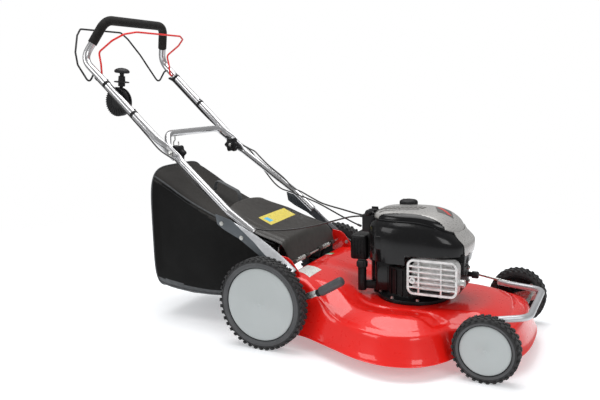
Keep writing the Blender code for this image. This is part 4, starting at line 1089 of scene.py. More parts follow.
def deck_rings(drop, count):
    outline = loop_through([(x, y, 0) for x, y in LIP], count)
    normals = []
    for i in range(count):
        along = outline[(i + 1) % count] - outline[i - 1]
        normals.append(Vector((-along.y, along.x, 0)).normalized())
    for _ in range(6):
        ahead = normals[1:] + normals[:1]
        normals = [(normals[i - 1] + normals[i] * 2 + ahead[i]).normalized() for i in range(count)]
    lines = [[p.xy for p in curve_through([(*q, 0) for q in line], 40)] for line in (SWIRL, CREASE)]
    skirt = [(0.0, LIP_Z), (-0.0022, LIP_Z + 0.0010), (-0.0028, LIP_Z + 0.0034), (-0.0016, LIP_Z + 0.0056)]
    skirt += [(0.0006, LIP_Z + 0.0072)]
    if drop:
        skirt = [(drop, LIP_Z + up) for up in (0.0, 0.001, 0.0034, 0.0056)]
        skirt += [(drop + 0.0006, LIP_Z + 0.0072)]
    rings = [[p + n * inset + Vector((0, 0, z)) for p, n in zip(outline, normals)] for inset, z in skirt]
    rise = [(0.25, 0.006), (0.50, 0.0115), (0.75, 0.0165), (0.92, 0.0195)]
    for share, inset in rise:
        ring = []
        for p, n in zip(outline, normals):
            top = shoulder_z(p.x) - 0.014
            ring.append(p + n * (inset + drop) + Vector((0, 0, mix(LIP_Z + 0.0072, top, share))))
        rings.append(ring)
    shoulder = ((0.0215, 0.0125), (0.0232, 0.0085), (0.0262, 0.0048), (0.0302, 0.0022), (0.0350, 0.0007))
    for inset, below in shoulder:
        ring = []
        for p, n in zip(outline, normals):
            q = p + n * (inset + drop * 0.7)
            ring.append(Vector((q.x, q.y, shoulder_z(q.x) - below - drop * 0.7)))
        rings.append(ring)
    edge = [p + n * 0.024 for p, n in zip(outline, normals)]
    start = [p + n * 0.0395 for p, n in zip(outline, normals)]
    steps = 30
    for k in range(steps):
        t = k / (steps - 1)
        ring = []
        for p, q in zip(edge, start):
            reach = (p - CRANK).length
            at = mix((q - CRANK).length, 0.1300, t ** 1.1)
            spot = CRANK + (q - CRANK).normalized() * at
            ring.append(Vector((spot.x, spot.y, deck_top(spot.x, spot.y, at / reach, lines) - drop)))
        rings.append(ring)
    for radius, height in ((0.1250, None), (0.1190, SEAT_Z), (0.0600, SEAT_Z)):
        ring = []
        for i, q in enumerate(start):
            spot = CRANK + (q - CRANK).normalized() * radius
            z = height if height else mix(rings[steps + len(skirt) + 8][i].z + drop, SEAT_Z, 0.6)
            ring.append(Vector((spot.x, spot.y, z - drop)))
        rings.append(ring)
    return rings


def make_deck():
    count = len(LIP) * 9
    shape = Shape()
    shape.skin(deck_rings(0.0, count) + deck_rings(DECK_GAUGE, count)[::-1], loop=True)
    deck = shape.object("deck_shell", "red_paint")
    holes = []
    for plane, centre, radius, low, high in (
        ("XZ", REAR_PIVOT, 0.0090, -0.30, 0.30),
        ("XZ", (WHEELBASE + 0.045, FRONT_RADIUS + 0.012), 0.0075, -0.30, 0.30),
    ):
        holes.append(Shape().slab(circle(centre, radius, 32), plane, low, high).object("hole"))
    holes.append(Shape().box((-0.05, -0.165, -0.1), (0.085, 0.165, 0.206)).object("hole"))
    cut(deck, holes)
    ears = Shape()
    outline = [(0.018, 0.200), (0.090, 0.192), (0.091, 0.222), (0.063, 0.259), (0.050, 0.268), (0.018, 0.273)]
    for side in (RIGHT, LEFT):
        ears.slab(outline, "XZ", side * 0.2045, side * 0.2085)
    ears = bevelled(ears.object("ears", "red_paint"), 0.0014, 3)
    joined(deck, ears)
    deck = fitted(deck, "mower", ["deck_shell"], 38)
    heads = [((0.073, side * 0.2088, 0.2305), (0, side, 0)) for side in (RIGHT, LEFT)]
    heads += [((0.073, side * 0.2042, 0.2305), (0, -side, 0)) for side in (RIGHT, LEFT)]
    bolt_heads("ear_bolts", "mower", heads, 0.0048, 0.0042)
    return deck


def laid_label(name, target, corners, finish, body, lift=0.0004, cells=14, toward=(0, 0, -1)):
    """A thin printed sheet laid on another piece. Its corners are given in plan, or along toward."""
    tree = BVHTree.FromObject(target, bpy.context.evaluated_depsgraph_get())
    toward = Vector(toward).normalized()
    a, b, c, d = (Vector(p) for p in corners)
    rows = []
    for i in range(cells + 1):
        row = []
        for j in range(cells + 1):
            u, v = i / cells, j / cells
            spot = a.lerp(b, u).lerp(d.lerp(c, u), v) + AXLE
            hit, normal, _, _ = tree.ray_cast(spot - toward * 0.5, toward)
            if hit is None:
                raise RuntimeError(f"{name} misses the piece it lies on")
            if normal.dot(toward) > 0:
                normal = -normal
            row.append(hit - AXLE + normal * lift)
        rows.append(row)
    sheet = Shape()
    under = [[p + toward * lift * 0.5 for p in row] for row in rows]
    rim_top = [rows[0][j] for j in range(cells + 1)] + [rows[i][-1] for i in range(1, cells + 1)]
    rim_top += [rows[-1][j] for j in range(cells - 1, -1, -1)] + [rows[i][0] for i in range(cells - 1, 0, -1)]
    rim_low = [p + toward * lift * 0.5 for p in rim_top]
    sheet.skin(rows, closed=False, caps=False)
    sheet.skin(under, closed=False, caps=False)
    sheet.skin([rim_top, rim_low], caps=False)
    obj = sheet.object(name, finish)
    return fitted(obj, body, (), 60)


def make_deck_labels(deck):
    high = 0.25
    paper = [(0.052, -0.158, high), (0.056, -0.084, high), (0.112, -0.098, high), (0.113, -0.188, high)]
    laid_label("deck_data_label", deck, paper, "paper_label", "mower")
    corners = [(0.048, 0.098, high), (0.072, 0.098, high), (0.072, 0.084, high), (0.048, 0.084, high)]
    laid_label("origin_sticker_green", deck, corners, "green_ink", "mower", cells=4)
    corners = [(0.048, 0.084, high), (0.072, 0.084, high), (0.072, 0.070, high), (0.048, 0.070, high)]
    laid_label("origin_sticker_white", deck, corners, "white_ink", "mower", cells=4)


def make_bumper():
    points = filleted(both_sides([(0.600, 0.2035, 0.1395), (0.745, 0.139, 0.148)]), 0.055, 16)
    points = spaced(points, 0.008)

    def pressed(point):
        press = 1 - ease(point.x, 0.603, 0.640)
        return 1.0 - 0.10 * press, 1.0 - 0.55 * press

    tube = Shape().tube(points, 0.0095, 28, pressed, round_ends=False)
    obj = bevelled(tube.object("front_bumper", "silver_paint"), 0.0012, 2, 50)
    fitted(obj, "mower", ["front_bumper"])
    heads = [((0.608, side * 0.2050, 0.1455), (0, 0, 1)) for side in (RIGHT, LEFT)]
    bolt_heads("bumper_bolts", "mower", heads, 0.0044, 0.0035)


# ---------------------------------------------------------------- engine
COWL_POWER = 2.9
COWL_RINGS = (
    # half length, half width, height, droop towards the front, shift forward
    (0.1460, 0.1180, 0.2680, 0.00, 0.0040),
    (0.1490, 0.1195, 0.3000, 0.12, 0.0055),
    (0.1500, 0.1200, 0.3300, 0.30, 0.0060),
    (0.1480, 0.1180, 0.3520, 0.90, 0.0040),
    (0.1420, 0.1120, 0.3720, 1.60, 0.0010),
    (0.1300, 0.1000, 0.3880, 2.10, 0.0000),
)
COVER_RINGS = (
    (0.1290, 0.0990, 0.3895, 2.10, 0.0),
    (0.1282, 0.0982, 0.3960, 2.15, 0.0),
    (0.1240, 0.0940, 0.4040, 2.20, 0.0),
    (0.1150, 0.0850, 0.4092, 2.10, 0.0),
    (0.1040, 0.0740, 0.4125, 2.00, 0.0),
    (0.0600, 0.0400, 0.4155, 1.00, 0.0),
    (0.0160, 0.0100, 0.4160, 0.20, 0.0),
)
FUEL_CAP = (0.356, 0.0255)
OIL_CAP = (0.255, -0.115)


def cowl_ring(half_x, half_y, z, tilt, shift, inset=0.0, drop=0.0):
    ring = []
    for x, y in superellipse((COWL.x + shift, COWL.y), half_x - inset, half_y - inset, COWL_POWER, 120):
        ring.append(Vector((x, y, z - drop - tilt * max(0.0, x - COWL.x) ** 2)))
    return ring


def shell(name, knots, count, gauge, finish, closed_top):
    """A moulded shell that follows the cowl's rings, with its inner face gauge inside the outer one."""
    stations = curve_through(knots, count)
    outer = [cowl_ring(*k) for k in stations]
    inner = [cowl_ring(*k, inset=min(gauge, k[1] * 0.4), drop=gauge if closed_top else 0.0) for k in stations]
    shape = Shape()
    if closed_top:
        shape.skin(inner[::-1] + outer)
    else:
        shape.skin(outer + inner[::-1], loop=True)
    return shape.object(name, finish)


def plan_box(centre, along, half_length, half_width, low, high, turn=0.0, radius=0.002):
    """A rounded block standing on a plan direction turned by turn."""
    angle = math.atan2(along[1], along[0]) + turn
    c, s = math.cos(angle), math.sin(angle)
    outline = []
    for a, b in round_box((-half_length, -half_width), (half_length, half_width), radius, 5):
        outline.append((centre[0] + a * c - b * s, centre[1] + a * s + b * c))
    return outline, low, high


def make_cowl():
    cowl = shell("blower_housing", COWL_RINGS, 30, 0.004, "black_gloss", False)
    holes = [
        Shape().box((0.200, -0.046, 0.240), (0.300, 0.006, 0.306)).object("hole"),
        Shape().box((0.404, -0.190, 0.240), (0.566, -0.112, 0.296)).object("hole"),
    ]
    cut(cowl, holes)
    lips = Shape()
    rim = [Vector(p) + Vector((0, 0, 0.0012)) for p in cowl_ring(0.1308, 0.1008, 0.3880, 2.10, 0.0)]
    lips.skin([[p + Vector((0, 0, dz)) + (p - Vector((COWL.x, COWL.y, p.z))).normalized() * dr for p in rim]
               for dr, dz in ((0.0, 0.0), (0.0016, 0.0), (0.0016, 0.0022), (0.0, 0.0028))], loop=True)
    joined(cowl, lips.object("lip", "black_gloss"))
    fitted(cowl, "mower", ["blower_housing"], 40)
    panel = Shape()
    panel.slab(round_box((0.312, 0.305), (0.366, 0.345), 0.006), "XZ", -0.1605, -0.150)
    obj = bevelled(panel.object("cowl_step", "black_gloss"), 0.002, 3)
    fitted(obj, "mower", ())
    heads = [((0.5600, -0.075, 0.300), (1, -0.2, 0)), ((0.5600, 0.010, 0.300), (1, 0.2, 0))]
    bolt_heads("cowl_bolts", "mower", heads, 0.0042, 0.0035)


def make_top_cover():
    cover = shell("top_cover", COVER_RINGS, 36, 0.003, "silver_plastic", True)
    first, last = Vector((0.2990, -0.0880)), Vector((0.4250, -0.0500))
    along = (last - first).normalized()
    count = 11
    slots = Shape()
    slot_shade = Shape()
    for i in range(count):
        centre = first.lerp(last, i / (count - 1))
        outline, low, high = plan_box(centre, along, 0.0165, 0.0042, 0.380, 0.430, math.radians(62), 0.0030)
        slots.slab(outline, "XY", low, high)
    slots.slab(circle(FUEL_CAP, 0.0320, 48), "XY", 0.380, 0.430)
    cut(cover, [slots.object("slots")])
    # Painted shade: a black sheet just under the cover that makes the slots read as dark openings into the
    # shaded engine.
    heart = COWL.to_2d() + Vector((-0.006, 0.0))
    slot_shade.slab([(heart.x + a, heart.y + b) for a, b in round_box((-0.085, -0.055), (0.080, 0.060), 0.02)],
                "XY", 0.3905, 0.3935)
    fitted(slot_shade.object("screen_under_slots", "engine_black"), "mower", ())
    joined(cover, bevel_tongue())
    cover.data.materials.append(finishes["black_gloss"])
    recolour(cover, 1, lambda c, n: c.x < 0.535 and not -0.080 < c.y - COWL.y < 0.086 or c.x < 0.277)
    fitted(cover, "mower", ["top_cover"], 40)
    return cover


def bevel_tongue():
    """Silver tongue that runs down the front of the cowl from the top cover."""
    levels = [(0.1292, 0.0992, 0.3915, 2.10, 0.0)]
    levels += [tuple(k) for k in curve_through(COWL_RINGS[::-1], 12)[1:10]]
    outer, inner = [], []
    for i, level in enumerate(levels):
        spread = math.radians(mix(30.0, 21.0, i / (len(levels) - 1)))
        for rows, extra in ((outer, 0.0032), (inner, 0.0002)):
            row = []
            for j in range(13):
                a = -spread + 2 * spread * j / 12
                c, s = math.cos(a), math.sin(a)
                half_x, half_y, z, tilt, shift = level
                x = COWL.x + shift + (half_x + extra) * abs(c) ** (2 / COWL_POWER)
                y = COWL.y + (half_y + extra) * math.copysign(abs(s) ** (2 / COWL_POWER), s)
                row.append(Vector((x, y, z - tilt * max(0.0, x - COWL.x) ** 2 + (extra if i == 0 else 0))))
            rows.append(row)
    shape = Shape()
    shape.skin([a + b[::-1] for a, b in zip(outer, inner)])
    return bevelled(shape.object("tongue", "silver_plastic"), 0.001, 2)


def make_cover_labels(cover):
    def patch(centre, half_length, half_width, turn):
        c, s = math.cos(turn), math.sin(turn)
        corners = ((-1, -1), (1, -1), (1, 1), (-1, 1))
        return [(centre[0] + a * half_length * c - b * half_width * s,
                 centre[1] + a * half_length * s + b * half_width * c, 0.6) for a, b in corners]

    turn = math.radians(20)
    laid_label("cover_label", cover, patch((0.483, -0.034), 0.023, 0.036, turn), "dark_label", "mower")
    swash = patch((0.483, -0.034), 0.006, 0.028, turn + 0.5)
    laid_label("cover_label_swash", cover, swash, "red_ink", "mower", 0.0007)
    for word, place in (("near", (0.366, -0.0975)), ("far", (0.360, -0.0400))):
        strip = patch(place, 0.058, 0.0034, math.radians(17))
        laid_label(f"cover_strip_{word}", cover, strip, "dark_label", "mower")


def make_caps():
    x, y = FUEL_CAP
    cap = Shape()
    rings = []
    profile = (
        (0.0170, 0.4130), (0.0170, 0.4000), (0.0262, 0.4000), (0.0275, 0.4012), (0.0275, 0.4190),
        (0.0262, 0.4222), (0.0225, 0.4250), (0.0120, 0.4270), (0.0010, 0.4275),
    )
    for radius, z in profile:
        ring = []
        for k in range(144):
            a = 2 * math.pi * k / 144
            size_here = radius + (0.0008 * math.cos(24 * a) if radius > 0.025 else 0.0)
            ring.append((x + size_here * math.cos(a), y + size_here * math.sin(a), z))
        rings.append(ring)
    cap.skin(rings)
    cap.slab(round_box((x - 0.019, y - 0.0035), (x + 0.019, y + 0.0035), 0.003), "XY", 0.4225, 0.4272)
    cap = moulded(cap, "fuel_cap", "black_plastic", 0.0006, 1)
    fitted(cap, "fuel_cap", ["fuel_cap"])
    (x, y), low = OIL_CAP, 0.238
    oil = Shape()
    rings = []
    for radius, up in ((0.0100, -0.012), (0.0100, 0.0), (0.0165, 0.0), (0.0165, 0.014), (0.0140, 0.0180)):
        z = low + up
        ring = []
        for k in range(96):
            a = 2 * math.pi * k / 96
            ribbed = radius + 0.0007 * math.cos(12 * a)
            ring.append((x + ribbed * math.cos(a), y + ribbed * math.sin(a), z))
        rings.append(ring)
    oil.skin(rings)
    bar = round_box((x - 0.013, y - 0.003), (x + 0.013, y + 0.003), 0.002)
    oil.slab(bar, "XY", low + 0.016, low + 0.022)
    oil = moulded(oil, "oil_cap", "black_plastic", 0.0006, 1)
    fitted(oil, "oil_cap", ["oil_cap"])


def make_starter_grip():
    grip = Shape()
    x, y, z = 0.266, -0.080, 0.399
    profile = [(0.0, -0.0205), (0.0045, -0.0200), (0.0080, -0.0180), (0.0092, -0.0100), (0.0085, 0.0),
               (0.0092, 0.0100), (0.0080, 0.0180), (0.0045, 0.0200), (0.0, 0.0205)]
    grip.turned([(r, y + t) for r, t in profile], (x, z), "Y", 40)
    grip.tube([(x + 0.002, y, z), (x + 0.0155, y, z - 0.004)], 0.0045, 20)
    grip = moulded(grip, "starter_grip", "black_plastic", 0.0006, 1)
    fitted(grip, "starter_grip", ["starter_grip"])


def make_block():
    block = Shape()
    x, y = CRANK.x, CRANK.y
    profile = [(0.0120, 0.1506), (0.1080, 0.1506), (0.1080, 0.1560), (0.1070, 0.1610), (0.0980, 0.1626),
               (0.0900, 0.1650), (0.0840, 0.1700), (0.0835, 0.2500), (0.0300, 0.2600), (0.0120, 0.2600)]
    block.turned(profile, (x, y), "Z", 96)
    block.box((0.285, -0.095, 0.156), (0.340, 0.005, 0.240))
    block.slab([(0.257, -0.116), (0.330, -0.100), (0.330, -0.072), (0.257, -0.096)], "XY", 0.170, 0.192)
    filler = [(0.0105, 0.166), (0.0130, 0.166), (0.0130, 0.2370), (0.0105, 0.2370)]
    block.turned(filler, OIL_CAP, "Z", 40)
    block.turned([(0.0, 0.166), (0.0128, 0.166), (0.0128, 0.2250), (0.0, 0.2250)], OIL_CAP, "Z", 40)
    block.slab(round_box((-0.105, 0.190), (-0.005, 0.248), 0.010), "YZ", 0.440, 0.552)
    obj = moulded(block, "engine_block", "engine_black", 0.0016, 3)
    fins = grown("fins", "bars", "engine_black", Count=9, First=(0.4740, -0.055, 0.219),
                 Step=(0.0092, 0.0, 0.0), Size=(0.0026, 0.1120, 0.0680), Turn=(0.0, 0.0, 0.0))
    clear_of_muffler = AXLE.y - 0.1195
    for vert in fins.data.vertices:
        vert.co.y = max(vert.co.y, clear_of_muffler)
    ribs = []
    for k in range(26):
        a = 2 * math.pi * k / 26
        out = Vector((math.cos(a), math.sin(a)))
        near, far = CRANK.xy + out * 0.0830, CRANK.xy + out * 0.0870
        side = Vector((-out.y, out.x)) * 0.0016
        rib = Shape().slab([near - side, far - side, far + side, near + side], "XY", 0.168, 0.2440)
        ribs.append(rib.object("rib", "engine_black"))
    joined(obj, fins, *ribs)
    fitted(obj, "mower", ["engine_block"])
    heads = []
    for k in range(8):
        a = math.radians(22.5 + 45 * k)
        heads.append(((x + 0.0985 * math.cos(a), y + 0.0985 * math.sin(a), 0.1628), (0, 0, 1)))
    heads += [((0.5530, yy, zz), (1, 0, 0)) for yy in (-0.090, -0.018) for zz in (0.200, 0.240)]
    bolt_heads("block_bolts", "mower", heads, 0.0044, 0.0042)


def make_air_filter():
    box = Shape()
    outline = round_box((0.196, -0.070), (0.254, 0.040), 0.012)
    rings = []
    for inset, z in ((0.0030, 0.2460), (0.0008, 0.2480), (0.0, 0.2520), (0.0, 0.3120), (0.0016, 0.3170),
                     (0.0050, 0.3205), (0.0110, 0.3220)):
        along, across = 1 - inset / 0.029, 1 - inset / 0.055
        rings.append([(0.225 + (a - 0.225) * along, -0.015 + (b + 0.015) * across, z) for a, b in outline])
    box.skin(rings)
    obj = box.object("air_filter_cover", "engine_black")
    ribs = grown("ribs", "bars", "engine_black", Count=8, First=(0.1958, -0.050, 0.284),
                 Step=(0.0, 0.0100, 0.0), Size=(0.0024, 0.0036, 0.0480), Turn=(0.0, 0.0, 0.0))
    face = grown("ribs", "bars", "engine_black", Count=4, First=(0.211, -0.0698, 0.284),
                 Step=(0.0095, 0.0, 0.0), Size=(0.0036, 0.0024, 0.0480), Turn=(0.0, 0.0, 0.0))
    joined(obj, ribs, face)
    fitted(obj, "mower", ["air_filter_cover"], 40)


def make_control_block():
    """The ribbed block behind the cowl that the brake and throttle cables plug into, with its choke cap."""
    block = Shape()
    block.slab(round_box((0.2445, -0.0900), (0.2850, 0.0020), 0.006), "XY", 0.340, 0.3920)
    obj = moulded(block, "control_block", "black_plastic", 0.002, 3)
    ribs = grown("ribs", "bars", "black_plastic", Count=9, First=(0.2445, -0.080, 0.366),
                 Step=(0.0, 0.0095, 0.0), Size=(0.0030, 0.0030, 0.0440), Turn=(0.0, 0.0, 0.0))
    joined(obj, ribs)
    fitted(obj, "mower", ())
    knob = Shape()
    profile = [(0.0, 0.392), (0.0125, 0.392), (0.0130, 0.3990), (0.0105, 0.4020), (0.0, 0.4026)]
    knob.turned(profile, (0.266, -0.030), "Z", 40)
    knob.slab(round_box((0.2555, -0.0325), (0.2765, -0.0275), 0.002), "XY", 0.4010, 0.4080)
    fitted(moulded(knob, "choke_cap", "black_plastic", 0.0007, 2), "mower", ())


def make_rear_shroud():
    """Black moulding that closes the engine's back below the cowl, behind the filter and the filler tube."""
    shroud = Shape()
    shroud.slab(round_box((0.2700, -0.0860), (0.3400, 0.0560), 0.014), "XY", 0.1640, 0.2640)
    shroud.slab(round_box((0.2950, -0.1180), (0.3600, -0.0600), 0.012), "XY", 0.1700, 0.2660)
    shroud.slab(round_box((0.4920, -0.1205), (0.5640, -0.1090), 0.004), "XY", 0.2400, 0.3000)
    obj = bevelled(shroud.object("rear_shroud", "black_gloss"), 0.003, 3)
    fitted(obj, "mower", ())


def make_muffler():
    body = Shape()
    body.slab(round_box((0.424, 0.200), (0.548, 0.282), 0.018), "XZ", -0.164, -0.1215)
    body.tube([(0.540, -0.145, 0.226), (0.572, -0.145, 0.226)], 0.011, 28, bore=0.0085)
    fitted(moulded(body, "muffler", "cast_aluminium", 0.004, 4), "mower", ["muffler"])
    guard = Shape()

    def frame_outline(inset, radius):
        return round_box((0.414 + inset, 0.188 + inset), (0.558 - inset, 0.291 - inset), radius, 10)

    outer, inner = frame_outline(0.0, 0.020), frame_outline(0.0065, 0.0135)
    thin = frame_outline(0.0022, 0.018)
    section = (
        (outer, -0.140), (outer, -0.1755), (outer, -0.1780), (inner, -0.1780), (inner, -0.1745),
        (thin, -0.1745), (thin, -0.140),
    )
    guard.skin([[(a, h, b) for a, b in outline] for outline, h in section], loop=True)
    obj = guard.object("muffler_guard", "cast_aluminium")
    rows = grown("rows", "bars", "cast_aluminium", Count=5, First=(0.486, -0.1752, 0.2095),
                 Step=(0.0, 0.0, 0.0152), Size=(0.1340, 0.0050, 0.0056), Turn=(0.0, 0.0, 0.0))
    posts = grown("posts", "bars", "cast_aluminium", Count=2, First=(0.448, -0.1750, 0.2395),
                  Step=(0.064, 0.0, 0.0), Size=(0.0052, 0.0046, 0.0930), Turn=(0.0, 0.0, 0.0))
    bars = bevelled(joined(rows, posts), 0.0010, 2)
    boss = Shape()
    profile = [(0.0045, -0.1790), (0.0085, -0.1790), (0.0090, -0.1780), (0.0090, -0.1715), (0.0045, -0.1715)]
    boss.turned(profile, (0.4300, 0.2285), "Y", 40)
    joined(obj, bars, boss.object("boss", "cast_aluminium"))
    fitted(obj, "mower", ["muffler_guard"], 40)
    heads = [((0.4300, -0.1720, 0.2285), (0, -1, 0)), ((0.5500, -0.1782, 0.2400), (0, -1, 0))]
    bolt_heads("guard_bolts", "mower", heads, 0.0026, 0.0022)


def make_spark_plug():
    plug = Shape()
    y, z = -0.040, 0.225
    profile = [(0.0, 0.5568), (0.0085, 0.5568), (0.0088, 0.5590), (0.0070, 0.5600), (0.0070, 0.5680),
               (0.0104, 0.5690), (0.0106, 0.5840), (0.0092, 0.5870), (0.0, 0.5880)]
    plug.turned(profile, (y, z), "X", 36)
    obj = plug.object("spark_plug", "black_plastic")
    fitted(obj, "mower", ["spark_plug"], 40)


def make_engine():
    make_block()
    make_cowl()
    cover = make_top_cover()
    make_cover_labels(cover)
    make_caps()
    make_starter_grip()
    make_control_block()
    make_air_filter()
    make_rear_shroud()
    make_muffler()
    make_spark_plug()


# ---------------------------------------------------------------- handle
LOWER_HALF = (
    (-0.060, 0.2140, 0.3388), (-0.140, 0.2262, 0.4000), (-0.346, 0.1935, 0.5577), (-0.386, 0.1915, 0.5885),
    (-0.4166, 0.1500, 0.6340),
)
UPPER_HALF = (
    (-0.352, 0.2035, 0.5600), (-0.384, 0.2040, 0.5896), (-0.450, 0.2085, 0.6503), (-0.7030, 0.2120, 0.8860),
    (-0.6450, 0.1560, 1.0140),
)
BRAKE_HALF = (
    (-0.648, 0.1945, 0.833), (-0.648, 0.1885, 0.8345), (-0.650, 0.187, 0.8695), (-0.657, 0.186, 0.9075),
    (-0.5985, 0.184, 0.9425), (-0.564, 0.164, 0.9627), (-0.545, 0.1225, 0.971),
)
DRIVE_HALF = (
    (-0.672, 0.1945, 0.852), (-0.676, 0.1885, 0.847), (-0.706, 0.189, 0.8056), (-0.753, 0.188, 0.869),
    (-0.774, 0.173, 0.913), (-0.798, 0.134, 0.973), (-0.8076, 0.106, 0.997),
)
BRACKET = (
    (-0.182, 0.394), (-0.176, 0.362), (-0.150, 0.345), (-0.100, 0.322), (-0.030, 0.275), (0.020, 0.228),
    (0.080, 0.228), (0.060, 0.238), (0.030, 0.248), (-0.012, 0.280), (-0.046, 0.314), (-0.125, 0.378),
)
FOLD = ((-0.126, 0.377), (-0.046, 0.313), (-0.012, 0.279), (0.030, 0.247), (0.079, 0.229))
FLANGE = (
    (-0.134, 0.2400, 0.3800), (-0.058, 0.2285, 0.3400), (-0.020, 0.2190, 0.3130), (0.030, 0.2165, 0.2770),
    (0.082, 0.2150, 0.2360),
)


def make_brackets():
    for side, word in ((RIGHT, "right"), (LEFT, "left")):
        # The web takes the painted-shade finish and the flange silver_paint, a shaded and a lit copy of the
        # same silver paint.
        web = Shape().slab(BRACKET, "XZ", side * 0.2395, side * 0.2417)
        obj = bevelled(web.object(f"handle_bracket_{word}", "bracket_grey"), 0.0006, 2)
        fold = curve_through([(x, 0.2412, z) for x, z in FOLD], 40)
        edge = curve_through(FLANGE, 40)
        rings = []
        for a, b in zip(fold, edge):
            down = Vector((0.0006, 0, -0.0020))
            top = [a.lerp(b, t) for t in (0.0, 0.25, 0.5, 0.75, 1.0)]
            ring = top + [p + down for p in reversed(top)]
            rings.append([Vector((p.x, side * p.y, p.z)) for p in ring])
        flange = Shape()
        flange.skin(rings)
        lip = bevelled(flange.object("flange", "silver_paint"), 0.0005, 2)
        spacer = Shape().turned([(0.0, side * 0.2092), (0.0065, side * 0.2092), (0.0065, side * 0.2405),
                                 (0.0, side * 0.2405)], (0.052, 0.236), "Y", 32)
        joined(obj, lip, spacer.object("spacer", "zinc_steel"))
        fitted(obj, "mower", [f"handle_bracket_{word}"], 40)
        places = ((-0.160, 0.365), (-0.090, 0.325), (0.052, 0.236))
        heads = [((x, side * 0.2419, z), (0, side, 0)) for x, z in places]
        bolt_heads(f"bracket_bolts_{word}", "mower", heads, 0.0048, 0.0040)


LEVER_AXIS = (-0.588, 0.742)


def press_at_joint(near, far, wide, thin):
    """Flattens a tube's section where the two halves of the handle meet."""

    def squeeze(point):
        if abs(point.y) <= 0.170:
            return 1.0, 1.0
        press = 1 - ease((Vector((point.x, 0, point.z)) - JOINT).length, near, far)
        return 1 + wide * press, 1 - thin * press

    return squeeze


def joint_holes():
    """Cutters for the bolts through both halves of the handle."""
    outline = circle((JOINT.x, JOINT.z), 0.0044, 24)
    spans = [(side * 0.20 - 0.03, side * 0.20 + 0.03) for side in (RIGHT, LEFT)]
    return [Shape().slab(outline, "XZ", low, high).object("hole") for low, high in spans]


def make_tubes():
    lower = spaced(filleted(both_sides(LOWER_HALF), 0.045, 14), 0.006)
    tube = Shape().tube(lower, 0.011, 28, press_at_joint(0.016, 0.050, 0.28, 0.55))
    obj = bevelled(tube.object("lower_handle", "bright_tube"), 0.001, 2, 50)
    fitted(cut(obj, joint_holes()), "mower", ["lower_handle"], 40)
    upper = spaced(filleted(both_sides(UPPER_HALF), 0.050, 14), 0.006)
    tube = Shape().tube(upper, 0.0125, 32, press_at_joint(0.024, 0.075, 0.15, 0.66))
    obj = bevelled(tube.object("upper_handle", "bright_tube"), 0.001, 2, 50)
    fitted(cut(obj, joint_holes()), "upper_handle", ["upper_handle"], 40)
    covered = [p for p in upper if p.z > 0.932]
    grip = Shape().tube(covered, size("foam"), 36, bore=0.0133)
    obj = bevelled(grip.object("foam_grip", "foam"), 0.0016, 3, 50)
    fitted(obj, "upper_handle", ["foam_grip"], 40)
    for share, side in ((0.20, RIGHT), (0.62, RIGHT), (0.30, LEFT), (0.72, LEFT)):
        low, high = Vector(UPPER_HALF[2]), Vector(UPPER_HALF[3])
        low.y, high.y = side * low.y, side * high.y
        start = low.lerp(high, share)
        along = (high - low).normalized()
        clip = Shape().tube([start, start + along * 0.010], 0.0138, 32, bore=0.0127)
        eye = start + along * 0.005
        clip.tube([eye + Vector((0.0, -0.0036 * side, up)) for up in (0.0120, 0.0172)], 0.0040, 16)
        word = "right" if side < 0 else "left"
        obj = moulded(clip, f"cable_clip_{word}_{round(share * 100)}", "black_plastic", 0.0005, 2)
        fitted(obj, "upper_handle", ())


def make_knobs():
    star = ((0.90, 0.1555), (0.97, 0.1568), (1.0, 0.1590), (1.0, 0.1720), (0.96, 0.1745), (0.88, 0.1755))
    boss = [(0.0, 0.1750), (0.0125, 0.1750), (0.0112, 0.1800), (0.0110, 0.1862), (0.0, 0.1862)]
    base = [(0.0, 0.150), (0.0090, 0.150), (0.0112, 0.1524), (0.0120, 0.1560), (0.0, 0.1560)]
    tip = [(0.0, 0.1480), (0.0046, 0.1484), (0.0056, 0.1500), (0.0, 0.1500)]
    shank = [(0.0, 0.186), (0.0040, 0.186), (0.0040, 0.2125), (0.0, 0.2125)]
    head = [(0.0, 0.2105), (0.0094, 0.2105), (0.0088, 0.2132), (0.0050, 0.2152), (0.0, 0.2156)]
    for side, word in ((RIGHT, "right"), (LEFT, "left")):
        rings = []
        for share, y in star:
            ring = []
            for k in range(144):
                a = 2 * math.pi * k / 144
                radius = (0.0245 + 0.0030 * math.cos(6 * a)) * share
                ring.append((JOINT.x + radius * math.cos(a), side * y, JOINT.z + radius * math.sin(a)))
            rings.append(ring)
        knob, bolt = Shape(), Shape()
        knob.skin(rings)
        turned = ((knob, boss, 48), (knob, base, 48), (bolt, tip, 32), (bolt, shank, 24), (bolt, head, 32))
        for shape, profile, segments in turned:
            shape.turned([(r, side * y) for r, y in profile], (JOINT.x, JOINT.z), "Y", segments)
        obj = knob.object(f"fold_knob_{word}", "black_plastic")
        joined(obj, bolt.object("bolt", "zinc_steel"))
        fitted(obj, f"fold_knob_{word}", [f"fold_knob_{word}"], 40)


def make_bails():
    for name, half, finish, slot_name in (
        ("brake_bail", BRAKE_HALF, "red_paint", "red_paint"),
        ("drive_bail", DRIVE_HALF, "black_plastic", "black_plastic"),
    ):
        path = spaced(filleted(both_sides(half), 0.016, 10), 0.010)
        wire = Shape().tube(path, size("bail"), 18)
        fitted(wire.object(name, finish), name, [name], 50)


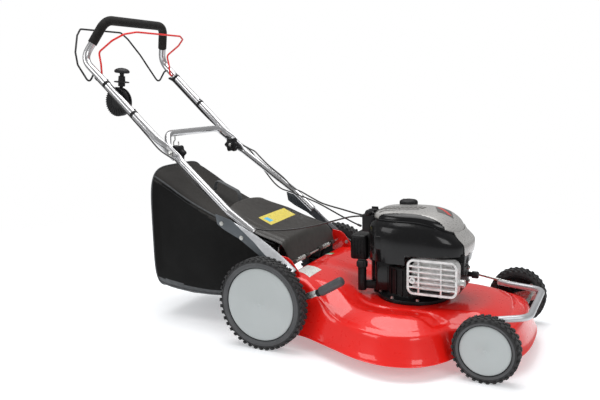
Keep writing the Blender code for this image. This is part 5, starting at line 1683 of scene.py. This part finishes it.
def make_lever():
    x, z = LEVER_AXIS
    profile = [(0.0, -0.1700), (0.0455, -0.1700), (0.0480, -0.1722), (0.0480, -0.1895), (0.0462, -0.1918),
               (0.0440, -0.1925), (0.0200, -0.1925), (0.0190, -0.1935), (0.0, -0.1935)]
    housing = Shape().turned(profile, (x, z), "Y", 96).object("lever_housing", "black_plastic")
    room = [Shape().box((x - 0.052, -0.1855, 0.7425), (x + 0.052, -0.1775, 0.81)).object("slot"),
            Shape().slab(circle((x, z), 0.0185, 40), "XZ", -0.1855, -0.1775).object("room")]
    cut(housing, room)
    post = Shape().slab(circle((x, z), 0.0046, 24), "XZ", -0.1930, -0.1700)
    post = post.object("post", "black_plastic")
    grooves = grown("grooves", "ring", "black_plastic", Count=22, Radius=0.0335, Side=-0.1928,
                    Size=(0.0200, 0.0024, 0.0034), Skew=0.0, Start=0.0)
    grooves.data.transform(Matrix.Translation((x, 0.0, z)))
    treads = grown("treads", "ring", "black_plastic", Count=40, Radius=0.0480, Side=-0.1895,
                   Size=(0.0016, 0.0044, 0.0030), Skew=0.0, Start=0.0)
    treads.data.transform(Matrix.Translation((x, 0.0, z)))
    joined(housing, post, grooves, treads)
    fitted(housing, "upper_handle", ["lever_housing"], 40)
    lever = Shape()
    lever.slab(capsule((x, z), (-0.5705, 0.802), 0.012, 0.005), "XZ", -0.1830, -0.1800)
    hole = Shape().slab(circle((x, z), 0.0050, 24), "XZ", -0.19, -0.17).object("hole")
    blade = cut(lever.object("speed_lever", "black_plastic"), [hole])
    foot, top = Vector((-0.5725, -0.1815, 0.7925)), Vector((-0.5655, -0.1815, 0.8530))
    along = (top - foot).normalized()
    u = along.cross(Vector((0, 1, 0))).normalized()
    v = along.cross(u)
    profile = [
        (0.0, 0.0100), (0.02, 0.0115), (0.20, 0.0115), (0.205, 0.0240), (0.22, 0.0250), (0.25, 0.0250),
        (0.265, 0.0240), (0.27, 0.0120), (0.40, 0.0112), (0.55, 0.0110), (0.565, 0.0072), (0.63, 0.0068),
        (0.70, 0.0078), (0.715, 0.0205), (0.74, 0.0240), (0.80, 0.0255), (0.87, 0.0238), (0.93, 0.0190),
        (0.98, 0.0110), (1.0, 0.0020),
    ]
    knob = Shape()
    rings = []
    for t, radius in profile:
        centre = foot.lerp(top, t)
        rings.append([centre + (u * math.cos(a) + v * math.sin(a)) * radius
                      for a in full_turn(56)])
    knob.skin(rings)
    joined(blade, knob.object("knob", "black_plastic"))
    fitted(blade, "speed_lever", ["speed_lever"], 35)


def make_handle():
    make_brackets()
    make_tubes()
    make_knobs()
    make_bails()
    make_lever()


# ---------------------------------------------------------------- flap
FLAP_LINE = (
    (0.0375, 0.2428), (0.030, 0.270), (0.016, 0.304), (-0.010, 0.3170), (-0.080, 0.3370), (-0.150, 0.3600),
    (-0.225, 0.3900),
)


def sheet_shell(shape, rows, gauge):
    """A closed sheet from a grid of points, gauge thick, with its underside below the given face."""
    count, across = len(rows), len(rows[0])
    under = []
    for i in range(count):
        row = []
        for j in range(across):
            along = rows[min(i + 1, count - 1)][j] - rows[max(i - 1, 0)][j]
            over = rows[i][min(j + 1, across - 1)] - rows[i][max(j - 1, 0)]
            row.append(rows[i][j] + along.cross(over).normalized() * gauge)
        under.append(row)
    shape.skin([a + b[::-1] for a, b in zip(rows, under)])
    return shape


def flap_point(u, v):
    """u runs back from the hinge, v from the middle to the left edge."""
    spot = curve_through([(x, 0, z) for x, z in FLAP_LINE], 241)[round(u * 240)]
    rear = ease(-spot.x, 0.02, 0.225)
    half = 0.172 - 0.045 * ease(-spot.x, 0.13, 0.225)
    z = spot.z + 0.010 * rear * (1 - v * v) - 0.012 * ease(u, 0.15, 0.35) * v**8
    groove = math.exp(-(((abs(v) - 0.74) / 0.022) ** 2)) * ease(u, 0.30, 0.36) * (1 - ease(u, 0.80, 0.88))
    groove += math.exp(-(((abs(v) - 0.90) / 0.018) ** 2)) * ease(u, 0.30, 0.36) * (1 - ease(u, 0.80, 0.88))
    return Vector((spot.x + 0.018 * rear * v * v, v * half, z - 0.0022 * groove))


def make_flap():
    across = 60
    rows = [[flap_point(i / 60, -1 + 2 * j / across) for j in range(across + 1)] for i in range(61)]
    flap = sheet_shell(Shape(), rows, 0.0026)
    obj = bevelled(flap.object("rear_flap", "flap_plastic"), 0.0007, 2, 45)
    knuckles = Shape()
    for y in (-0.15, -0.05, 0.05, 0.15):
        knuckles.turned([(0.0034, y - 0.012), (0.0075, y - 0.012), (0.0075, y + 0.012), (0.0034, y + 0.012)],
                        (0.039, 0.238), "Y", 32)
    spring = Shape()
    for side in (RIGHT, LEFT):
        coil = []
        for k in range(160):
            a = 2 * math.pi * k / 20
            x, z = 0.039 + 0.0062 * math.cos(a), 0.238 + 0.0062 * math.sin(a)
            coil.append(Vector((x, side * (0.070 + 0.00032 * k), z)))
        spring.tube(coil, 0.0011, 8)
    joined(obj, bevelled(knuckles.object("knuckles", "flap_plastic"), 0.0006, 2),
           spring.object("springs", "zinc_steel"))
    fitted(obj, "rear_flap", ["rear_flap"], 40)
    patch = [(-0.1239, -0.0746, 0.6), (-0.1272, 0.1121, 0.6), (-0.0775, 0.1029, 0.6), (-0.0724, -0.0828, 0.6)]
    laid_label("flap_label", obj, patch, "yellow_label", "rear_flap")
    dot = [(-0.112, -0.062, 0.6), (-0.112, -0.038, 0.6), (-0.088, -0.038, 0.6), (-0.088, -0.062, 0.6)]
    laid_label("flap_label_dot", obj, dot, "blue_ink", "rear_flap", 0.0007, 6)
    return obj


# ---------------------------------------------------------------- grass bag
BAG_STATIONS = (
    # x, middle height, half height, half width
    (-0.020, 0.242, 0.046, 0.150),
    (-0.075, 0.236, 0.072, 0.156),
    (-0.150, 0.222, 0.120, 0.160),
    (-0.250, 0.232, 0.152, 0.160),
    (-0.350, 0.254, 0.178, 0.160),
    (-0.440, 0.285, 0.203, 0.163),
    (-0.492, 0.304, 0.212, 0.160),
)
BAG_POWER = 5.0


def bag_point(station, angle, along):
    """A point of the bag's skin, drawn in between its corners and wrinkled. along runs from 0 to 1."""
    x, middle_z, half_z, half_y = station
    c, s = math.cos(angle), math.sin(angle)
    y = half_y * math.copysign(abs(c) ** (2 / BAG_POWER), c)
    z = half_z * math.copysign(abs(s) ** (2 / BAG_POWER), s)
    body = ease(along, 0.08, 0.35) * (1 - ease(along, 0.90, 1.0))
    flat_y = 1 - ease(abs(z) / half_z, 0.30, 0.98)
    flat_z = 1 - ease(abs(y) / half_y, 0.25, 0.98)
    wrinkle = fractal(Vector((x * 11, y * 13, z * 9)), 0.9, 2.1, 4) * 0.0026
    folds = math.sin((z + x * 0.6) * 62 + 2 * y) * 0.0009
    if abs(c) > abs(s):
        y -= math.copysign((0.0105 * flat_y + wrinkle + folds) * body, y)
    else:
        sag = 0.0060 if z > 0 else -0.0030
        z -= sag * flat_z * body + (wrinkle if z > 0 else -wrinkle) * body * 0.8
    return Vector((x, y, middle_z + z))


def make_bag():
    count, across = 66, 112
    stations = [tuple(k) for k in curve_through(BAG_STATIONS, count)]
    turns = [2 * math.pi * j / across for j in range(across)]
    rings = [[bag_point(k, a, i / (count - 1)) for a in turns] for i, k in enumerate(stations)]
    last = stations[-1]
    for push, share in ((0.0040, 0.988), (0.0060, 0.960), (0.0050, 0.88), (0.0015, 0.72), (-0.0030, 0.50),
                        (-0.0050, 0.28), (-0.0058, 0.06)):
        ring = []
        for a in turns:
            p = bag_point((last[0], last[1], last[2] * share, last[3] * share), a, 1.0)
            lean = 0.0030 * fractal(Vector((p.y * 12, p.z * 12, 1.0)), 0.9, 2.1, 3)
            ring.append(Vector((last[0] - push - lean * (1 - share), p.y, p.z)))
        rings.append(ring)
    skin = Shape()
    front = [rings[0]]
    for share in (0.985, 0.90):
        front.insert(0, [Vector((p.x + 0.001, p.y * share, stations[0][1] + (p.z - stations[0][1]) * share))
                         for p in rings[0]])
    skin.skin(front[:2] + rings)
    bag = skin.object("grass_bag", "bag_mesh", "bag_cloth", "bag_trim")

    def surface(name):
        def test(c, n):
            station = stations[min(count - 1, max(0, round((c.x + 0.020) / -0.472 * (count - 1))))]
            share = (c.z - station[1]) / station[2]
            if name == "top":
                return share > 0.80 and n.z > 0.35
            return share < -0.78
        return test

    recolour(bag, 1, surface("top"))
    recolour(bag, 2, surface("low"))
    cords = Shape()
    for side in (RIGHT, LEFT):
        for corner in (1, -1):
            line = []
            for i in range(3, count):
                x, middle_z, half_z, half_y = stations[i]
                swell = 0.5 ** (1 / BAG_POWER)
                z = middle_z + corner * half_z * swell * 1.004
                line.append(Vector((x, side * half_y * swell * 1.004, z)))
            cords.tube(line, size("piping"), 10, round_ends=True)
    x, middle_z, half_z, half_y = stations[-1]
    rim = superellipse((0, 0), half_y * 1.002, half_z * 1.002, BAG_POWER, 96)
    loop = [Vector((x, y, middle_z + z)) for y, z in rim]
    cords.tube(loop + loop[:1], size("piping"), 10)
    joined(bag, cords.object("piping", "bag_trim"))
    strap = [(-0.236, 0, 0.378), (-0.240, 0, 0.426), (-0.330, 0, 0.465), (-0.338, 0, 0.428)]
    strap = filleted(strap, 0.022, 12)
    handle = Shape().tube(spaced(strap, 0.006), 0.0050, 24, lambda p: (0.55, 2.1))
    joined(bag, handle.object("strap", "bag_trim"))
    fitted(bag, "grass_bag", ["grass_bag"], 50)
    for side, word in ((RIGHT, "right"), (LEFT, "left")):
        lines = []
        for i in range(6, count - 2):
            x, middle_z, half_z, half_y = stations[i]
            lines.append(bag_point(stations[i], math.radians(38 if side > 0 else 142), i / (count - 1))
                         + Vector((0, side * 0.0004, 0)))
        thread = grown(f"bag_stitches_{word}", "stitches", "bag_trim", strand(lines), Pitch=0.0075,
                       Length=0.0045, Thread=0.0006)
        fitted(thread, "grass_bag", ())
    corners = ((0.0, 0.205), (-0.140, 0.205), (-0.140, 0.282), (0.140, 0.282), (0.140, 0.205), (0.0, 0.205))
    frame_loop = filleted([(-0.017, y, z) for y, z in corners], 0.016, 10)
    mouth = Shape()
    rings = []
    for p, u, v in path_frames(frame_loop)[:-1]:
        rings.append([p + u * (0.0028 * math.cos(t)) + v * (0.0028 * math.sin(t)) for t in full_turn(16)])
    mouth.skin(rings, loop=True)
    obj = mouth.object("bag_mouth_frame", "zinc_steel")
    fitted(obj, "grass_bag", ["bag_mouth_frame"], 50)


# ---------------------------------------------------------------- control cables
BRAKE_ROUTE = (
    (0.2450, -0.0620, 0.3830), (0.2000, -0.0760, 0.3790), (0.1470, -0.0960, 0.3650),
    (0.0950, -0.1220, 0.3520), (0.0400, -0.1480, 0.3430), (-0.0100, -0.1700, 0.3400),
    (-0.0500, -0.1840, 0.3420), (-0.0850, -0.1930, 0.3490), (-0.1190, -0.1980, 0.3620),
    (-0.1500, -0.2050, 0.3830), (-0.1850, -0.2090, 0.4110), (-0.2300, -0.2120, 0.4480),
    (-0.2800, -0.2195, 0.4920), (-0.3300, -0.2240, 0.5490), (-0.3380, -0.2240, 0.5560),
    (-0.3950, -0.2230, 0.5860), (-0.4500, -0.2130, 0.6300), (-0.5000, -0.2080, 0.6740),
    (-0.5600, -0.2080, 0.7300), (-0.6100, -0.2080, 0.7770), (-0.6500, -0.2080, 0.8135),
    (-0.6640, -0.2030, 0.8230),
)
THROTTLE_ROUTE = (
    (0.2460, -0.0130, 0.3740), (0.1980, 0.0180, 0.3700), (0.1210, 0.0650, 0.3730),
    (0.0230, 0.1200, 0.3790), (-0.0370, 0.1550, 0.3910), (-0.0900, 0.1860, 0.4040),
    (-0.1370, 0.2050, 0.4170), (-0.1800, 0.2110, 0.4520), (-0.2350, 0.2060, 0.4940),
    (-0.2700, 0.2080, 0.5230), (-0.3000, 0.2180, 0.5440), (-0.3300, 0.2240, 0.5550),
    (-0.3950, 0.2235, 0.5870), (-0.4500, 0.2135, 0.6290), (-0.5000, 0.2065, 0.6730),
    (-0.5600, 0.2055, 0.7290), (-0.6100, 0.2055, 0.7760), (-0.6500, 0.2055, 0.8130),
    (-0.6640, 0.2010, 0.8230),
)
CLUTCH_ROUTE = (
    (0.1900, 0.0450, 0.3270), (0.1600, 0.0560, 0.3340), (0.0980, 0.0880, 0.3490),
    (0.0160, 0.1360, 0.3680), (-0.0420, 0.1660, 0.3800), (-0.1370, 0.1930, 0.4010),
    (-0.1800, 0.1990, 0.4110), (-0.2150, 0.2080, 0.4300), (-0.2500, 0.2180, 0.4610),
    (-0.2850, 0.2240, 0.4990), (-0.3300, 0.2310, 0.5480), (-0.3950, 0.2292, 0.5870),
    (-0.4500, 0.2190, 0.6300), (-0.5000, 0.2122, 0.6740), (-0.5600, 0.2112, 0.7300),
    (-0.6100, 0.2112, 0.7770), (-0.6500, 0.2112, 0.8140), (-0.6640, 0.2068, 0.8240),
)


def make_cables():
    routes = (
        ("brake_cable", BRAKE_ROUTE, ["brake_cable_lower", "brake_cable_upper"], -0.2235),
        ("throttle_cable", THROTTLE_ROUTE, ["throttle_cable_lower", "control_cables_upper"], 0.2240),
        ("clutch_cable", CLUTCH_ROUTE, ["clutch_cable_lower"], 0.2300),
    )
    for name, route, replaced, y in routes:
        path = curve_through(route, (len(route) - 1) * 12 + 1)
        cable = Shape().tube(path, size("cable"), 14, round_ends=True)
        for end, ahead in ((path[0], path[4]), (path[-1], path[-5])):
            along = (ahead - end).normalized()
            cable.tube([end, end + along * 0.014], size("cable") * 1.5, 16)
        obj = shade(cable.object(name, "cable_sheath"), 50)
        end = Vector((-0.400, y, 0.600)) + AXLE
        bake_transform(obj)
        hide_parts(*replaced)


def make_rear():
    make_flap()
    make_bag()
    make_cables()


# ---------------------------------------------------------------- pieces kept as they come from the frame
KEPT = {
    "rear_axle_frame": "zinc_steel",
    "front_axle": "zinc_steel",
    "height_link_rod": "zinc_steel",
    "crankshaft": "dark_steel",
    "flywheel": "cast_aluminium",
    "blade_hub_pulley": "dark_steel",
    "cutting_blade": "dark_steel",
    "blade_bolt": "zinc_steel",
    "gearbox": "cast_aluminium",
    "gearbox_pulley": "dark_steel",
    "drive_belt": "belt_rubber",
    "drive_shaft": "zinc_steel",
    "carburettor": "cast_aluminium",
    "fuel_tank": "engine_black",
    "flap_pin": "zinc_steel",
    "rope_guide": "zinc_steel",
}


def finish_kept_parts():
    for node, finish in KEPT.items():
        obj = bpy.data.objects[node]
        obj.data.materials.clear()
        obj.data.materials.append(finishes[finish])


# ---------------------------------------------------------------- stage
CAMERA_PLACE = Vector((1.0104, -1.9563, 0.7717))
CAMERA_TURN = math.radians(26.48)
CAMERA_PITCH = math.radians(9.28)
CAMERA_ROLL = math.radians(-1.29)


def make_camera():
    turn, pitch = CAMERA_TURN, CAMERA_PITCH
    ahead = Vector((-math.sin(turn) * math.cos(pitch), math.cos(turn) * math.cos(pitch), -math.sin(pitch)))
    right = ahead.cross(Vector((0, 0, 1))).normalized()
    up = right.cross(ahead)
    c, s = math.cos(CAMERA_ROLL), math.sin(CAMERA_ROLL)
    across, above = right * c + up * s, up * c - right * s
    data = bpy.data.cameras.new("camera")
    data.lens = 40.885
    data.sensor_width = 36.0
    camera = bpy.data.objects.new("camera", data)
    facing = Matrix((across, above, -ahead)).transposed().to_4x4()
    camera.matrix_world = Matrix.Translation(CAMERA_PLACE) @ facing
    bpy.context.scene.collection.objects.link(camera)
    bpy.context.scene.camera = camera
    return camera


def make_light(name, place, aim, size, power, colour=(1.0, 1.0, 1.0)):
    data = bpy.data.lights.new(name, "AREA")
    data.shape = "RECTANGLE"
    data.size, data.size_y = size
    data.energy = power
    data.color = colour
    light = bpy.data.objects.new(name, data)
    light.location = place
    light.rotation_euler = (Vector(aim) - Vector(place)).to_track_quat("-Z", "Y").to_euler()
    bpy.context.scene.collection.objects.link(light)
    return light


def floor_paper():
    """Pale paper, lit a little from within, that fades out away from the mower into the white room."""
    paper = Finish("floor_paper", (0.86, 0.87, 0.885), 0.85, specular=0.1)
    paper.tint(paper.noise(0.6), 0.995, 1.0)
    paper.shader.inputs["Emission Color"].default_value = (0.96, 0.98, 1.0, 1.0)
    paper.shader.inputs["Emission Strength"].default_value = 0.32
    length = paper.nodes.new("ShaderNodeVectorMath")
    length.operation = "LENGTH"
    paper.link(paper.place, length.inputs[0])
    clear = paper.nodes.new("ShaderNodeBsdfTransparent")
    blend = paper.nodes.new("ShaderNodeMixShader")
    paper.link(paper.ramp(length.outputs["Value"], 0.0, 1.0, 1.1, 2.4), blend.inputs[0])
    paper.link(paper.shader.outputs[0], blend.inputs[1])
    paper.link(clear.outputs[0], blend.inputs[2])
    paper.link(blend.outputs[0], paper.nodes["Material Output"].inputs["Surface"])
    return paper.material


def white_room():
    """A room that looks white behind the mower and lights it as a softer grey."""
    world = bpy.data.worlds.new("studio")
    world.use_nodes = True
    nodes, links = world.node_tree.nodes, world.node_tree.links
    background = nodes["Background"]
    background.inputs["Color"].default_value = (1.0, 1.0, 1.0, 1.0)
    seen = nodes.new("ShaderNodeLightPath").outputs["Is Camera Ray"]
    level = nodes.new("ShaderNodeMapRange")
    links.new(seen, level.inputs["Value"])
    level.inputs["To Min"].default_value = 0.36
    level.inputs["To Max"].default_value = 1.0
    links.new(level.outputs[0], background.inputs["Strength"])
    bpy.context.scene.world = world


def make_stage():
    """Seamless pale floor, three softboxes and the camera."""
    floor = bpy.data.meshes.new("floor")
    floor.from_pydata([(-30, -30, 0), (30, -30, 0), (30, 30, 0), (-30, 30, 0)], [], [(0, 1, 2, 3)])
    obj = bpy.data.objects.new("floor", floor)
    bpy.context.scene.collection.objects.link(obj)
    floor.materials.append(floor_paper())
    lights = [
        make_light("overhead softbox", (-0.2, 0.3, 3.2), (0.0, 0.0, 0.3), (3.2, 2.6), 92.0),
        make_light("front softbox", (2.9, -2.2, 2.1), (0.2, 0.0, 0.3), (1.8, 1.6), 34.0),
        make_light("side softbox", (-2.2, -2.8, 1.8), (-0.1, 0.0, 0.4), (1.6, 1.6), 26.0),
    ]
    white_room()
    bpy.context.scene.view_settings.view_transform = "Standard"
    make_camera()


# ---------------------------------------------------------------- what a user can change
class MowerColours(bpy.types.PropertyGroup):
    """Colours of the large surfaces"""

    paint: bpy.props.FloatVectorProperty(
        name="Deck paint", description="Colour of the pressed deck", subtype="COLOR", min=0, max=1,
        default=(0.80, 0.010, 0.006),
    )
    cowl: bpy.props.FloatVectorProperty(
        name="Cowl", description="Colour of the engine's blower housing", subtype="COLOR", min=0, max=1,
        default=(0.004, 0.004, 0.0045),
    )
    cover: bpy.props.FloatVectorProperty(
        name="Wheel covers", description="Colour of the discs over the wheels", subtype="COLOR", min=0, max=1,
        default=(0.43, 0.46, 0.46),
    )
    bag: bpy.props.FloatVectorProperty(
        name="Grass bag", description="Colour of the bag's open-weave sides", subtype="COLOR", min=0, max=1,
        default=(0.008, 0.008, 0.008),
    )


class MowerSizes(bpy.types.PropertyGroup):
    """Sizes that can change without moving the frame"""

    cable: bpy.props.FloatProperty(
        name="Cable radius", description="Outer radius of the control cables", unit="LENGTH", default=0.0026,
    )
    bail: bpy.props.FloatProperty(
        name="Bail radius", description="Wire radius of both bails", unit="LENGTH", default=0.0032,
    )
    foam: bpy.props.FloatProperty(
        name="Grip radius", description="Outer radius of the foam grip", unit="LENGTH", default=0.0157,
    )
    piping: bpy.props.FloatProperty(
        name="Piping radius", description="Radius of the cord sewn along the bag's edges", unit="LENGTH",
        default=0.0026,
    )


def hue(name):
    return tuple(getattr(bpy.context.scene.mower_colours, name))


def size(name):
    return getattr(bpy.context.scene.mower_sizes, name)


# ---------------------------------------------------------------- operators and panel
class MOWER_OT_finishes(bpy.types.Operator):
    """Makes every surface finish and gives it to the parts kept from the frame"""

    bl_idname = "mower.finishes"
    bl_label = "Finishes"

    def execute(self, context):
        make_finishes()
        finish_kept_parts()
        return {"FINISHED"}


class MOWER_OT_wheels(bpy.types.Operator):
    """Makes the four wheels and the height lever"""

    bl_idname = "mower.wheels"
    bl_label = "Wheels and height lever"

    def execute(self, context):
        make_wheels()
        make_height_lever()
        return {"FINISHED"}


class MOWER_OT_deck(bpy.types.Operator):
    """Makes the pressed deck, its labels and the front bumper"""

    bl_idname = "mower.deck"
    bl_label = "Deck and bumper"

    def execute(self, context):
        make_deck_labels(make_deck())
        make_bumper()
        return {"FINISHED"}


class MOWER_OT_engine(bpy.types.Operator):
    """Makes the engine, its cowl and covers, the muffler and the caps"""

    bl_idname = "mower.engine"
    bl_label = "Engine"

    def execute(self, context):
        make_engine()
        return {"FINISHED"}


class MOWER_OT_handle(bpy.types.Operator):
    """Makes the folding handle, its knobs, bails, lever and brackets"""

    bl_idname = "mower.handle"
    bl_label = "Handle"

    def execute(self, context):
        make_handle()
        return {"FINISHED"}


class MOWER_OT_bag(bpy.types.Operator):
    """Makes the discharge flap, the grass bag and the control cables"""

    bl_idname = "mower.bag"
    bl_label = "Flap, bag and cables"

    def execute(self, context):
        make_rear()
        return {"FINISHED"}


class MOWER_OT_stage(bpy.types.Operator):
    """Sets up the floor, the softboxes and the camera"""

    bl_idname = "mower.stage"
    bl_label = "Stage"

    def execute(self, context):
        make_stage()
        return {"FINISHED"}


OPERATORS = (
    MOWER_OT_finishes,
    MOWER_OT_wheels,
    MOWER_OT_deck,
    MOWER_OT_engine,
    MOWER_OT_handle,
    MOWER_OT_bag,
    MOWER_OT_stage,
)


class MOWER_PT_panel(bpy.types.Panel):
    """Lists the colours, the sizes and one button for each group of pieces"""

    bl_idname = "MOWER_PT_panel"
    bl_label = "Mower"
    bl_space_type = "VIEW_3D"
    bl_region_type = "UI"
    bl_category = "Mower"

    def draw(self, context):
        for group in (context.scene.mower_colours, context.scene.mower_sizes):
            for name in group.__annotations__:
                self.layout.prop(group, name)
        for operator in OPERATORS:
            self.layout.operator(operator.bl_idname)


CLASSES = (MowerColours, MowerSizes, *OPERATORS, MOWER_PT_panel)


def register():
    for one in CLASSES:
        bpy.utils.register_class(one)
    bpy.types.Scene.mower_colours = bpy.props.PointerProperty(type=MowerColours)
    bpy.types.Scene.mower_sizes = bpy.props.PointerProperty(type=MowerSizes)


def unregister():
    del bpy.types.Scene.mower_sizes
    del bpy.types.Scene.mower_colours
    for one in reversed(CLASSES):
        bpy.utils.unregister_class(one)


def main():
    register()
    for operator in OPERATORS:
        getattr(bpy.ops.mower, operator.bl_idname.split(".")[1])()


if __name__ == "__main__":
    main()
